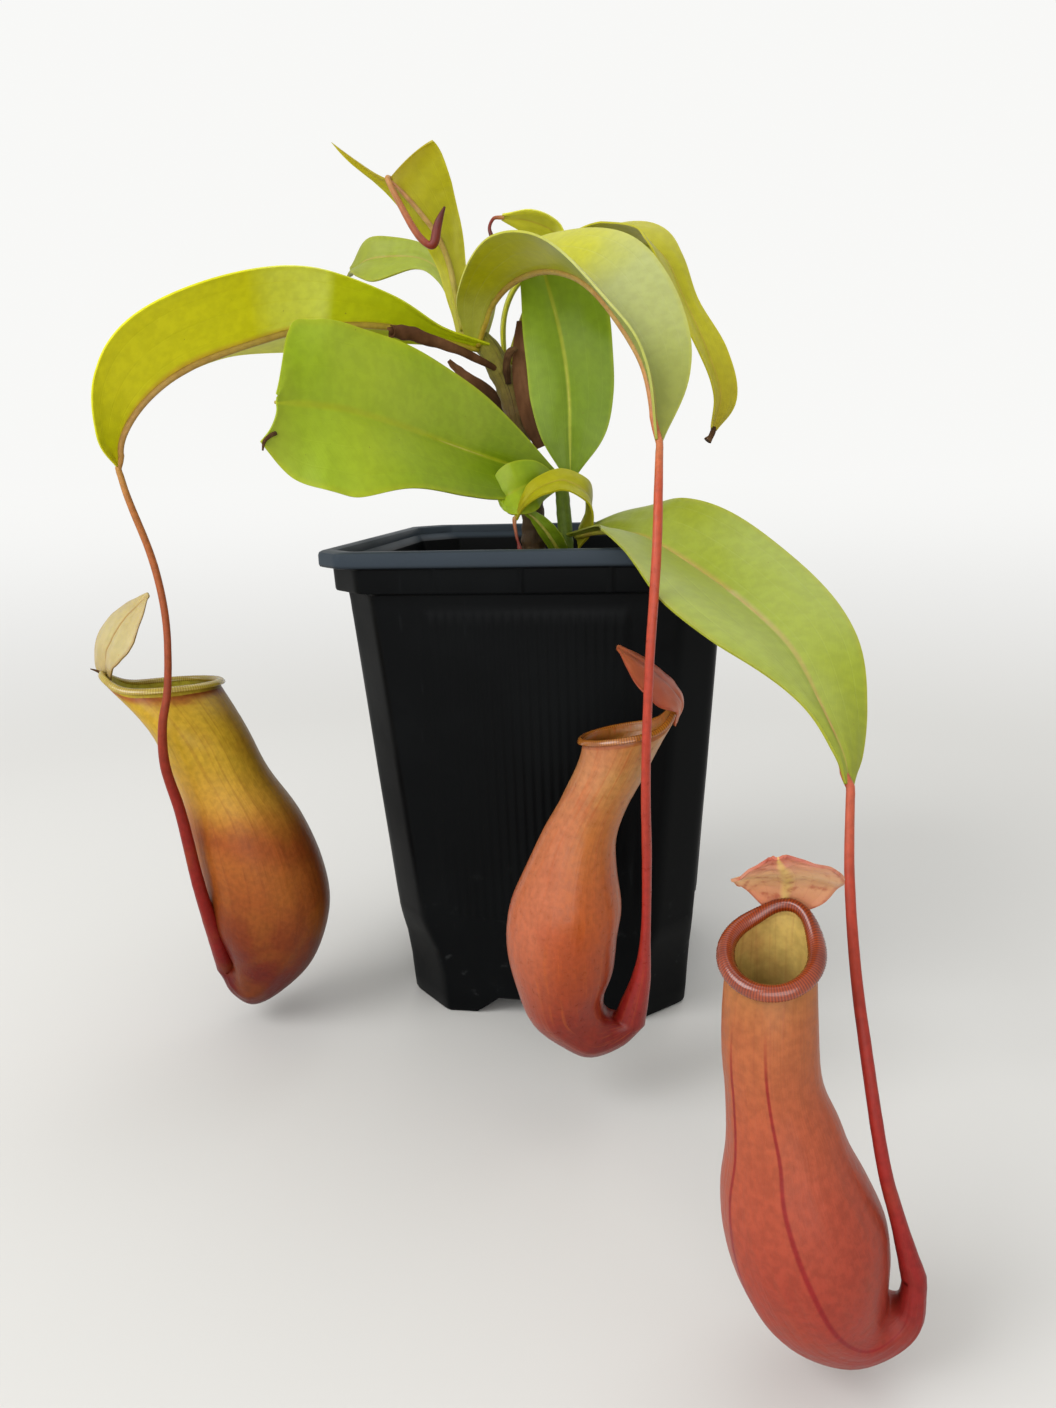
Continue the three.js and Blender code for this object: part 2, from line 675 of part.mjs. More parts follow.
// Every piece by name: how it is made (a little larger by `grow`), its colour and its roughness.
const pieces = {};
for (const [name, r] of Object.entries(RODS)) {
  pieces[name] = { make: (grow) => makeRod(r, grow), color: r.color, roughness: 0.6 };
}
for (const [name, leaf] of Object.entries(LEAVES)) {
  pieces[name] = { make: (grow) => makeLeaf(leaf, grow), color: leaf.color, roughness: 0.4 };
}
for (const [side, pitcher] of Object.entries(PITCHERS)) {
  const { color } = pitcher;
  pieces[side + "_tendril"] = { make: () => makeTendril(pitcher), color: CRIMSON, roughness: 0.45 };
  pieces[side + "_pitcher"] = { make: (grow) => makeCup(pitcher, grow), color, roughness: 0.4 };
  pieces[side + "_lid"] = { make: (grow) => makeLid(pitcher, grow), color, roughness: 0.5 };
}

const plant = new THREE.Group();

function addPiece(name, solid, color, roughness) {
  const material = new THREE.MeshStandardMaterial({ color, roughness, metalness: 0 });
  const mesh = new THREE.Mesh(geometryOf(solid), material);
  mesh.name = name;
  plant.add(mesh);
}

addPiece("pot", makePot(), new THREE.Color(0.012, 0.014, 0.017), 0.4);
addPiece("potting_mix", makeSoil(), new THREE.Color(0.05, 0.03, 0.02), 0.95);
for (const [name, piece] of Object.entries(pieces)) {
  let solid = solidOf(piece.make(0));
  for (const other of GIVES_WAY[name] ?? []) {
    solid = largestBody(solid.subtract(solidOf(pieces[other].make(GAP))));
  }
  addPiece(name, solid, piece.color, piece.roughness);
}

// The middle of the footprint is the origin, and the lowest point lies on z = 0.
const footprint = new THREE.Box3().setFromObject(plant);
const middle = footprint.getCenter(new THREE.Vector3());
for (const mesh of plant.children) {
  mesh.geometry.translate(-middle.x, -middle.y, -footprint.min.z);
}

export default plant;
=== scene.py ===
# A young pitcher plant in its square nursery pot, on a pale floor.
# Lengths in the tables are millimetres from the pot's middle at floor level; spot() turns them into scene metres.
import math
import random

import bmesh
import bpy
from mathutils import Matrix, Vector, noise


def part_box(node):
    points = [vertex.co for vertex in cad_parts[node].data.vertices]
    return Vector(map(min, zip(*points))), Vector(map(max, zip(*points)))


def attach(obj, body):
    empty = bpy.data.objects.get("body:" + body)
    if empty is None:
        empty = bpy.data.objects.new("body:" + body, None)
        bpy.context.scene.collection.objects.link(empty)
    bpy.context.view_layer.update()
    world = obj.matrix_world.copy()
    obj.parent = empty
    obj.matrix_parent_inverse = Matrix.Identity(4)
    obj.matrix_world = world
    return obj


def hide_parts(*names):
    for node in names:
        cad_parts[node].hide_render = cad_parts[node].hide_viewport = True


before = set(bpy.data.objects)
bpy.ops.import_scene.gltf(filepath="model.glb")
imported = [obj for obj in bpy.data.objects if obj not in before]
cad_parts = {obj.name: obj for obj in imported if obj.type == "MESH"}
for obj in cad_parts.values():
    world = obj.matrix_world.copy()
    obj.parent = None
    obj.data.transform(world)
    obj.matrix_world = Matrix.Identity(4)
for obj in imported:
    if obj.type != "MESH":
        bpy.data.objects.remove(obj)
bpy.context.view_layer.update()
bpy.ops.object.select_all(action="DESELECT")
potLow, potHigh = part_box("pot")
potMiddle = Vector(((potLow.x + potHigh.x) / 2, (potLow.y + potHigh.y) / 2, 0))
mm = 0.001
print("frame loaded, pot at", tuple(round(v, 4) for v in potMiddle))


# Places and curves

def spot(point):
    return Vector(point) * mm + potMiddle


def smooth(values, t):
    # a soft curve through numbers or vectors, t runs 0..1 from the first to the last
    spans = len(values) - 1
    along = min(max(t, 0), 1) * spans
    k = min(int(along), spans - 1)
    w = along - k
    here, there = values[k], values[k + 1]
    before = values[k - 1] if k else here * 2 - there
    after = values[k + 2] if k + 2 <= spans else there * 2 - here
    leave, arrive = (there - before) * 0.5, (after - here) * 0.5
    return (
        (here * 2 - there * 2 + leave + arrive) * w**3
        + (there * 3 - here * 3 - leave * 2 - arrive) * w**2
        + leave * w
        + here
    )


def heading(points, t):
    return (smooth(points, t + 0.002) - smooth(points, t - 0.002)).normalized()


def squareTo(along, direction):
    return (direction - along * along.dot(direction)).normalized()


def bump(x, width):
    return math.exp(-((x / width) ** 2))


# Node helpers

def paint(code):
    channels = [int(code[i : i + 2], 16) / 255 for i in (1, 3, 5)]
    return (*[c / 12.92 if c < 0.04045 else ((c + 0.055) / 1.055) ** 2.4 for c in channels], 1)


def newMaterial(name, roughness, **shaderValues):
    material = bpy.data.materials.new(name)
    material.use_nodes = True
    tree = material.node_tree
    shader = tree.nodes["Principled BSDF"]
    shader.inputs["Roughness"].default_value = roughness
    for socket, value in shaderValues.items():
        shader.inputs[socket.replace("_", " ")].default_value = value
    return material, tree, shader


def feed(tree, socket, value):
    if isinstance(value, bpy.types.NodeSocket):
        tree.links.new(value, socket)
    else:
        socket.default_value = value


def calc(tree, operation, first, second=0.0, third=0.0):
    made = tree.nodes.new("ShaderNodeMath")
    made.operation = operation
    for socket, value in zip(made.inputs, (first, second, third)):
        feed(tree, socket, value)
    return made.outputs[0]


def fade(tree, value, low, high, toLow=0.0, toHigh=1.0):
    # a soft step: toLow at low, toHigh at high
    made = tree.nodes.new("ShaderNodeMapRange")
    made.interpolation_type = "SMOOTHSTEP"
    for socket, number in zip(made.inputs, (value, low, high, toLow, toHigh)):
        feed(tree, socket, number)
    return made.outputs[0]


def blendColour(tree, amount, first, second, how="MIX"):
    made = tree.nodes.new("ShaderNodeMix")
    made.data_type = "RGBA"
    made.blend_type = how
    feed(tree, made.inputs[0], amount)
    feed(tree, made.inputs[6], first)
    feed(tree, made.inputs[7], second)
    return made.outputs[2]


def ramp(tree, value, stops):
    made = tree.nodes.new("ShaderNodeValToRGB")
    elements = made.color_ramp.elements
    while len(elements) < len(stops):
        elements.new(0.5)
    for element, (at, colour) in zip(elements, stops):
        element.position = at
        element.color = paint(colour)
    feed(tree, made.inputs[0], value)
    return made.outputs[0]


def cloud(tree, scale, detail=3.0, where=None, stretch=None):
    # soft noise on the object's own coordinates, or on a vector of the piece's own
    if where is None:
        where = tree.nodes.new("ShaderNodeTexCoord").outputs["Object"]
    if stretch:
        mapping = tree.nodes.new("ShaderNodeMapping")
        mapping.inputs["Scale"].default_value = stretch
        tree.links.new(where, mapping.inputs["Vector"])
        where = mapping.outputs[0]
    made = tree.nodes.new("ShaderNodeTexNoise")
    made.inputs["Scale"].default_value = scale
    made.inputs["Detail"].default_value = detail
    tree.links.new(where, made.inputs["Vector"])
    return made.outputs["Fac"]


def relief(tree, shader, height, strength, depth):
    made = tree.nodes.new("ShaderNodeBump")
    made.inputs["Strength"].default_value = strength
    made.inputs["Distance"].default_value = depth
    tree.links.new(height, made.inputs["Height"])
    tree.links.new(made.outputs[0], shader.inputs["Normal"])


# Modelling helpers

def startPiece(name):
    piece = bpy.context.object
    piece.name = name
    piece.data.name = name
    return piece


def applyModifier(piece, kind, **settings):
    modifier = piece.modifiers.new(kind.title(), kind)
    for key, value in settings.items():
        setattr(modifier, key, value)
    bpy.context.view_layer.objects.active = piece
    bpy.ops.object.modifier_apply(modifier=modifier.name)


def finishPiece(piece, materials, stands=(), angle=None):
    for material in materials:
        piece.data.materials.append(material)
    bpy.ops.object.select_all(action="DESELECT")
    piece.select_set(True)
    bpy.context.view_layer.objects.active = piece
    if angle is None:
        bpy.ops.object.shade_smooth()
    else:
        bpy.ops.object.shade_smooth_by_angle(angle=math.radians(angle))
    piece.select_set(False)
    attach(piece, "root")
    if stands:
        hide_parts(*stands)
    return piece


def growRings(name, rings, closed=True):
    # A circle extruded from ring to ring. Each ring is a list of places; marks rides along for the materials.
    sides = len(rings[0]["places"])
    bpy.ops.object.select_all(action="DESELECT")
    bpy.ops.mesh.primitive_circle_add(vertices=sides, radius=0.01, fill_type="NGON" if closed else "NOTHING")
    piece = startPiece(name)
    bpy.ops.object.mode_set(mode="EDIT")
    bpy.ops.mesh.select_all(action="SELECT")
    mesh = bmesh.from_edit_mesh(piece.data)
    order = mesh.verts.layers.int.new("order")
    mesh.verts.layers.float_vector.new("around")
    mesh.verts.ensure_lookup_table()
    order = mesh.verts.layers.int["order"]
    for vertex in mesh.verts:
        vertex[order] = vertex.index
    for step, ring in enumerate(rings):
        if step:
            bpy.ops.mesh.extrude_region_move()
            mesh = bmesh.from_edit_mesh(piece.data)
            order = mesh.verts.layers.int["order"]
        around = mesh.verts.layers.float_vector["around"]
        for vertex in mesh.verts:
            if vertex.select:
                turn = math.tau * vertex[order] / sides
                vertex.co = ring["places"][vertex[order]]
                vertex[around] = Vector((math.cos(turn), math.sin(turn), ring["mark"]))
        bmesh.update_edit_mesh(piece.data)
    bpy.ops.mesh.select_all(action="SELECT")
    bpy.ops.mesh.normals_make_consistent(inside=False)
    bpy.ops.object.mode_set(mode="OBJECT")
    return piece


def roundPlaces(ring, sides, outline=None):
    places = []
    for k in range(sides):
        turn = math.tau * k / sides
        reach = ring["side"] * math.cos(turn) + ring["front"] * math.sin(turn)
        swell, lift = outline(turn, ring) if outline else (1, Vector())
        places.append(spot(ring["at"] + reach * swell + lift))
    return places


def tubeRings(path, radii, steps, startMark, endMark, endSide=None):
    # rings square to a path; their sideways direction is carried along so that they don't twist
    path = [Vector(p) for p in path]
    times = [k / steps for k in range(steps + 1)]
    headings = [heading(path, t) for t in times]
    side = endSide or Vector((0, 1, 0) if abs(headings[-1].y) < 0.8 else (1, 0, 0))
    rings = []
    for t, along in zip(reversed(times), reversed(headings)):
        side = squareTo(along, side)
        radius = smooth(radii, t)
        rings.append(
            {
                "at": smooth(path, t),
                "side": side * radius,
                "front": along.cross(side) * radius,
                "mark": startMark + (endMark - startMark) * t,
            }
        )
    return rings[::-1]


def growTube(name, path, radii, sides, steps, outline=None):
    rings = tubeRings(path, radii, steps, 0, 1)
    for ring in rings:
        ring["places"] = roundPlaces(ring, sides, outline)
    return growRings(name, rings)


# Camera at the photograph's viewpoint

camera = {
    "at": (44.5, -313.8, 157.1),
    "turn": 9.5,  # degrees to the left
    "dip": 13.1,
    "roll": -1.67,
    "lens": 27.03,
    "sensor": 36,
}


def makeCamera(view):
    turn, dip, roll = (math.radians(view[key]) for key in ("turn", "dip", "roll"))
    ahead = Vector((-math.sin(turn) * math.cos(dip), math.cos(turn) * math.cos(dip), -math.sin(dip)))
    level = Vector((math.cos(turn), math.sin(turn), 0))
    upright = level.cross(ahead)
    right = level * math.cos(roll) + upright * math.sin(roll)
    up = upright * math.cos(roll) - level * math.sin(roll)
    bpy.ops.object.camera_add()
    made = bpy.context.object
    made.name = "ViewCamera"
    made.matrix_world = Matrix.Translation(spot(view["at"])) @ Matrix((right, up, -ahead)).transposed().to_4x4()
    made.data.sensor_fit = "VERTICAL"
    made.data.sensor_height = view["sensor"]
    made.data.lens = view["lens"]
    made.data.clip_start = 0.01
    bpy.context.scene.camera = made


makeCamera(camera)
print("camera set")


# Materials

def leafMaterial(name, look):
    # upper or under face of a leaf. The piece's UV map runs from stalk to tip, and from margin to margin.
    material, tree, shader = newMaterial(
        name,
        0.4,
        Subsurface_Weight=look.get("glow", 0.25),
        Subsurface_Radius=(1.0, 0.9, 0.15),
        Subsurface_Scale=0.0012,
        Specular_IOR_Level=look.get("shine", 0.2),
        Coat_Weight=look.get("wax", 0.08),
        Coat_Roughness=0.35,
    )
    uv = tree.nodes.new("ShaderNodeSeparateXYZ")
    tree.links.new(tree.nodes.new("ShaderNodeTexCoord").outputs["UV"], uv.inputs[0])
    along = uv.outputs[0]
    half = calc(tree, "ABSOLUTE", calc(tree, "MULTIPLY_ADD", uv.outputs[1], 2.0, -1.0))
    patches = cloud(tree, look.get("patchScale", 26), 2)
    grain = cloud(tree, 420, 2)
    warped = calc(tree, "MULTIPLY_ADD", calc(tree, "SUBTRACT", patches, 0.5), look.get("warp", 0.3), along)
    colour = ramp(tree, warped, look["along"])
    blotch = fade(tree, patches, 0.42, 0.68, 0, look.get("patch", 0.5))
    colour = blendColour(tree, blotch, colour, paint(look["patchColour"]))
    # pairs of long side veins, and a fine feather of cross veins
    longVein = calc(tree, "PINGPONG", calc(tree, "MULTIPLY", half, 3.3), 0.5)
    longLine = fade(tree, longVein, 0.44, 0.5, 0, 0.18)
    feather = calc(tree, "MULTIPLY_ADD", half, 11.0, calc(tree, "MULTIPLY", along, look.get("feather", 46.0)))
    featherLine = fade(tree, calc(tree, "PINGPONG", feather, 0.5), 0.36, 0.5, 0, look.get("featherAmount", 0.07))
    lines = calc(tree, "MULTIPLY", calc(tree, "MAXIMUM", longLine, featherLine), fade(tree, along, 0.96, 0.78))
    colour = blendColour(tree, lines, colour, paint(look["veins"]))
    ribMask = fade(tree, half, look.get("ribWidth", 0.07), 0.012, 0, 0.85)
    colour = blendColour(tree, ribMask, colour, paint(look["rib"]))
    # margin line: on the leaves a yellowish bright rim, painted glow of light shining through the thin edge; on the
    # lids a darker rim
    edgeMask = fade(tree, half, 0.9, 0.985, 0, look.get("edgeAmount", 0.45))
    colour = blendColour(tree, edgeMask, colour, paint(look["edge"]))
    light = fade(tree, grain, 0.3, 0.7, 0.94, 1.05)
    shade = tree.nodes.new("ShaderNodeCombineColor")
    for socket in shade.inputs:
        tree.links.new(light, socket)
    colour = blendColour(tree, 1.0, colour, shade.outputs[0], "MULTIPLY")
    # a few tiny brown specks
    speck = fade(tree, cloud(tree, look.get("speckScale", 900), 2), look.get("speckFrom", 0.76), 0.8, 0, look.get("specks", 0.5))
    colour = blendColour(tree, speck, colour, paint(look.get("speckColour", "#6b5a24")))
    tree.links.new(colour, shader.inputs["Base Color"])
    gloss = look.get("gloss", 0.34)
    tree.links.new(fade(tree, patches, 0.3, 0.7, gloss, gloss + 0.12), shader.inputs["Roughness"])
    height = calc(tree, "MULTIPLY_ADD", grain, 0.35, calc(tree, "MULTIPLY_ADD", lines, -2.0, 0.5))
    relief(tree, shader, height, 0.22, 0.0003)
    return material


def tubeMaterial(name, look):
    # stems, tendrils and pitchers. "around" holds the direction around the piece and the place along it.
    material, tree, shader = newMaterial(
        name,
        0.4,
        Subsurface_Weight=look.get("glow", 0.12),
        Subsurface_Radius=(1.0, 0.35, 0.12),
        Subsurface_Scale=0.0014,
        Specular_IOR_Level=look.get("shine", 0.18),
        Coat_Weight=look.get("wax", 0.1),
        Coat_Roughness=0.3,
    )
    attribute = tree.nodes.new("ShaderNodeAttribute")
    attribute.attribute_name = "around"
    around = tree.nodes.new("ShaderNodeSeparateXYZ")
    tree.links.new(attribute.outputs["Vector"], around.inputs[0])
    turnX, turnY, mark = around.outputs
    length = look.get("length", 1.0)  # the mark at the far end
    patches = cloud(tree, look.get("patchScale", 90), 4)
    grain = cloud(tree, 700, 4)
    place = calc(tree, "DIVIDE", mark, length)
    warped = calc(tree, "MULTIPLY_ADD", calc(tree, "SUBTRACT", patches, 0.5), look.get("warp", 0.03), place)
    colour = ramp(tree, warped, look["along"])
    if "side" in look:  # painted light on one flank: dark painted shade on the left cup, a pinkish painted sheen on the centre cup
        facing = calc(tree, "MULTIPLY_ADD", turnY, look["sideTurn"][1], calc(tree, "MULTIPLY", turnX, look["sideTurn"][0]))
        amount = calc(tree, "MULTIPLY", fade(tree, facing, look.get("sideFrom", 0.1), 0.95), fade(tree, place, *look["sideBetween"]))
        colour = blendColour(tree, calc(tree, "MULTIPLY", amount, look.get("sideAmount", 0.7)), colour, paint(look["side"]))
    streaks = cloud(tree, look.get("streakScale", 5.0), 5, attribute.outputs["Vector"], (2.4, 2.4, look.get("streakRun", 1.1)))
    colour = blendColour(tree, fade(tree, streaks, 0.52, 0.68, 0, look.get("streak", 0.5)), colour, paint(look["streakColour"]))
    colour = blendColour(tree, fade(tree, patches, 0.48, 0.7, 0, look.get("patch", 0.35)), colour, paint(look["patchColour"]))
    if "wings" in look:  # two dark red ridges down the front
        facing = calc(tree, "ARCTAN2", calc(tree, "MULTIPLY", turnY, -1.0), calc(tree, "MULTIPLY", turnX, -1.0))
        rise = calc(tree, "SUBTRACT", 3.0, mark)
        shown = calc(tree, "MULTIPLY", fade(tree, mark, 2.02, 2.15), fade(tree, mark, 2.93, 2.86))
        for top, sweep, strength in look["wings"]:
            middle = calc(tree, "MULTIPLY_ADD", rise, sweep, top)
            off = calc(tree, "ABSOLUTE", calc(tree, "SUBTRACT", facing, middle))
            line = fade(tree, off, 0.05, 0.012, 0, strength)
            colour = blendColour(tree, calc(tree, "MULTIPLY", line, shown), colour, paint(look["wingColour"]))
    if "speckle" in look:
        spots = fade(tree, cloud(tree, 520, 3), 0.6, 0.68, 0, look["speckle"])
        spots = calc(tree, "MULTIPLY", spots, fade(tree, place, *look["speckleBetween"]))
        colour = blendColour(tree, spots, colour, paint(look["speckleColour"]))
    light = fade(tree, grain, 0.3, 0.7, 0.88, 1.1)
    shade = tree.nodes.new("ShaderNodeCombineColor")
    for socket in shade.inputs:
        tree.links.new(light, socket)
    colour = blendColour(tree, 1.0, colour, shade.outputs[0], "MULTIPLY")
    tree.links.new(colour, shader.inputs["Base Color"])
    gloss = look.get("gloss", 0.34)
    tree.links.new(fade(tree, grain, 0.3, 0.7, gloss, gloss + 0.12), shader.inputs["Roughness"])
    height = calc(tree, "MULTIPLY_ADD", streaks, 1.5, grain)
    relief(tree, shader, height, look.get("rough", 0.3), 0.0003)
    return material


leafLooks = {
    "lime": {
        "along": [(0.0, "#837e06"), (0.4, "#9b980a"), (0.75, "#a59f10"), (1.0, "#958510")],
        "patchColour": "#aaa525", "veins": "#aba623", "rib": "#a9942c", "edge": "#b3ac23", "patch": 0.35,
    },
    "limeUnder": {
        "along": [
            # the paler band from 0.35 to 0.43 along is a painted highlight, the whitish reflection across the left leaf
            (0.0, "#93a304"), (0.22, "#a8b408"), (0.335, "#b4bc10"), (0.35, "#cfd65a"), (0.43, "#cdd046"), (0.47, "#cbc91a"),
            (0.75, "#cbc722"), (0.9, "#b2b208"), (1.0, "#a89c0c"),
        ],
        "patchColour": "#bfbc13", "veins": "#c5c319", "rib": "#bb9633", "edge": "#b9b81e", "edgeAmount": 0.2,
        "gloss": 0.45, "wax": 0.02, "shine": 0.12, "ribWidth": 0.1, "warp": 0.03, "patch": 0.3, "featherAmount": 0.03, "glow": 0.4,
    },
    "bright": {
        "along": [(0.0, "#9a9c10"), (0.5, "#b2b322"), (1.0, "#bcb838")],
        "patchColour": "#bfbe3c", "veins": "#c2c238", "rib": "#b9a440", "edge": "#c4c23a", "patch": 0.3, "glow": 0.4,
    },
    "green": {
        "along": [(0.0, "#687f06"), (0.3, "#7a9408"), (0.55, "#9aae20"), (0.72, "#90a81a"), (0.85, "#88a00c"), (1.0, "#819212")],
        "patchColour": "#a3b13a", "veins": "#97aa23", "rib": "#a0aa1e", "edge": "#a6ae1c", "patchScale": 20,
    },
    "greenUnder": {
        "along": [(0.0, "#86900a"), (0.5, "#989d10"), (1.0, "#a5a01c")],
        "patchColour": "#a3a524", "veins": "#a9ab30", "rib": "#b0964c", "edge": "#b2b232",
        "gloss": 0.45, "wax": 0.02, "shine": 0.12,
    },
    "soft": {
        "along": [(0.0, "#768111"), (0.3, "#818a1f"), (0.5, "#8b972f"), (0.7, "#879222"), (1.0, "#797d13")],
        "patchColour": "#939e4e", "veins": "#949e48", "rib": "#9f9045", "edge": "#969625", "patch": 0.55,
    },
    "pale": {
        # from 0.61 along the ramp turns whitish grey-green: painted sheen of the light from above on the upper face
        "along": [(0.0, "#939504"), (0.42, "#b0ae0a"), (0.55, "#aead10"), (0.61, "#a2a44a"), (0.66, "#9da262"), (0.83, "#90964c"), (1.0, "#7c8030")],
        "patchColour": "#a0a56a", "veins": "#a2a668", "rib": "#a08c48", "edge": "#a6a646", "warp": 0.12, "patch": 0.3,
    },
    "deep": {
        "along": [(0.0, "#5a730a"), (0.5, "#718c12"), (0.8, "#829e1c"), (1.0, "#809917")],
        "patchColour": "#82992b", "veins": "#89a02e", "rib": "#a2a827", "edge": "#95a424",
    },
}
leafMaterials = {key: leafMaterial("leaf_" + key, look) for key, look in leafLooks.items()}

ribLooks = {
    "pinkRib": {"along": [(0.0, "#86820f"), (0.3, "#978a2c"), (0.55, "#b08a50"), (1.0, "#b87a5c")], "streakColour": "#a8854a", "patchColour": "#bfa868"},
    "paleRib": {"along": [(0.0, "#a4a83a"), (0.6, "#b2b044"), (1.0, "#b5a04c")], "streakColour": "#a39c3a", "patchColour": "#c2bf6a"},
}
crimsonLook = {"along": [(0.0, "#b08a4c"), (0.35, "#a0603c"), (0.6, "#7c2a1e"), (1.0, "#471610")], "streakColour": "#6d261a", "patchColour": "#99482e", "wax": 0.2}
tubeMaterials = {key: tubeMaterial(key, look) for key, look in ribLooks.items()}
tubeMaterials["crimson"] = tubeMaterial("crimson_tendril", crimsonLook)

stemLook = {
    "along": [(0.0, "#3a2a1a"), (0.35, "#4a3820"), (0.6, "#5c4a22"), (0.85, "#7a7426"), (1.0, "#8d9424")],
    "streakColour": "#2c1d13", "streak": 0.8, "patchColour": "#6c5630", "gloss": 0.5, "rough": 0.8, "wax": 0.0,
}
shootLook = {
    "along": [(0.0, "#4c5a1e"), (0.5, "#5f7420"), (1.0, "#72881f")],
    "streakColour": "#46521e", "patchColour": "#7c8c34", "gloss": 0.42,
}
driedLook = {
    "along": [(0.0, "#3f2b1a"), (0.5, "#5a3f27"), (1.0, "#6d5034")],
    "streakColour": "#20140c", "streak": 0.85, "patchColour": "#7f623f", "gloss": 0.62, "rough": 1.0, "wax": 0.0, "glow": 0.0, "shine": 0.06,
    "patchScale": 160,
}
tubeMaterials["stem"] = tubeMaterial("woody_stem", stemLook)
tubeMaterials["shoot"] = tubeMaterial("green_shoot", shootLook)
tubeMaterials["dried"] = tubeMaterial("dried_tissue", driedLook)


def papery():
    # dead leaf tissue on blades
    material, tree, shader = newMaterial("dried_leaf", 0.7, Specular_IOR_Level=0.06)
    fibres = cloud(tree, 90, 6, stretch=(1.0, 1.0, 0.35))
    colour = ramp(tree, fibres, [(0.3, "#27190f"), (0.5, "#523520"), (0.68, "#745036"), (0.8, "#8f6e4e")])
    tree.links.new(colour, shader.inputs["Base Color"])
    relief(tree, shader, cloud(tree, 500, 6), 0.8, 0.0005)
    return material


driedLeaf = papery()
print("leaf and stem materials ready")


# Leaves. The rib runs from stalk to tip; across points to margin a, and b is opposite. Half widths, roll and
# fold (degrees) are spread evenly along the rib.

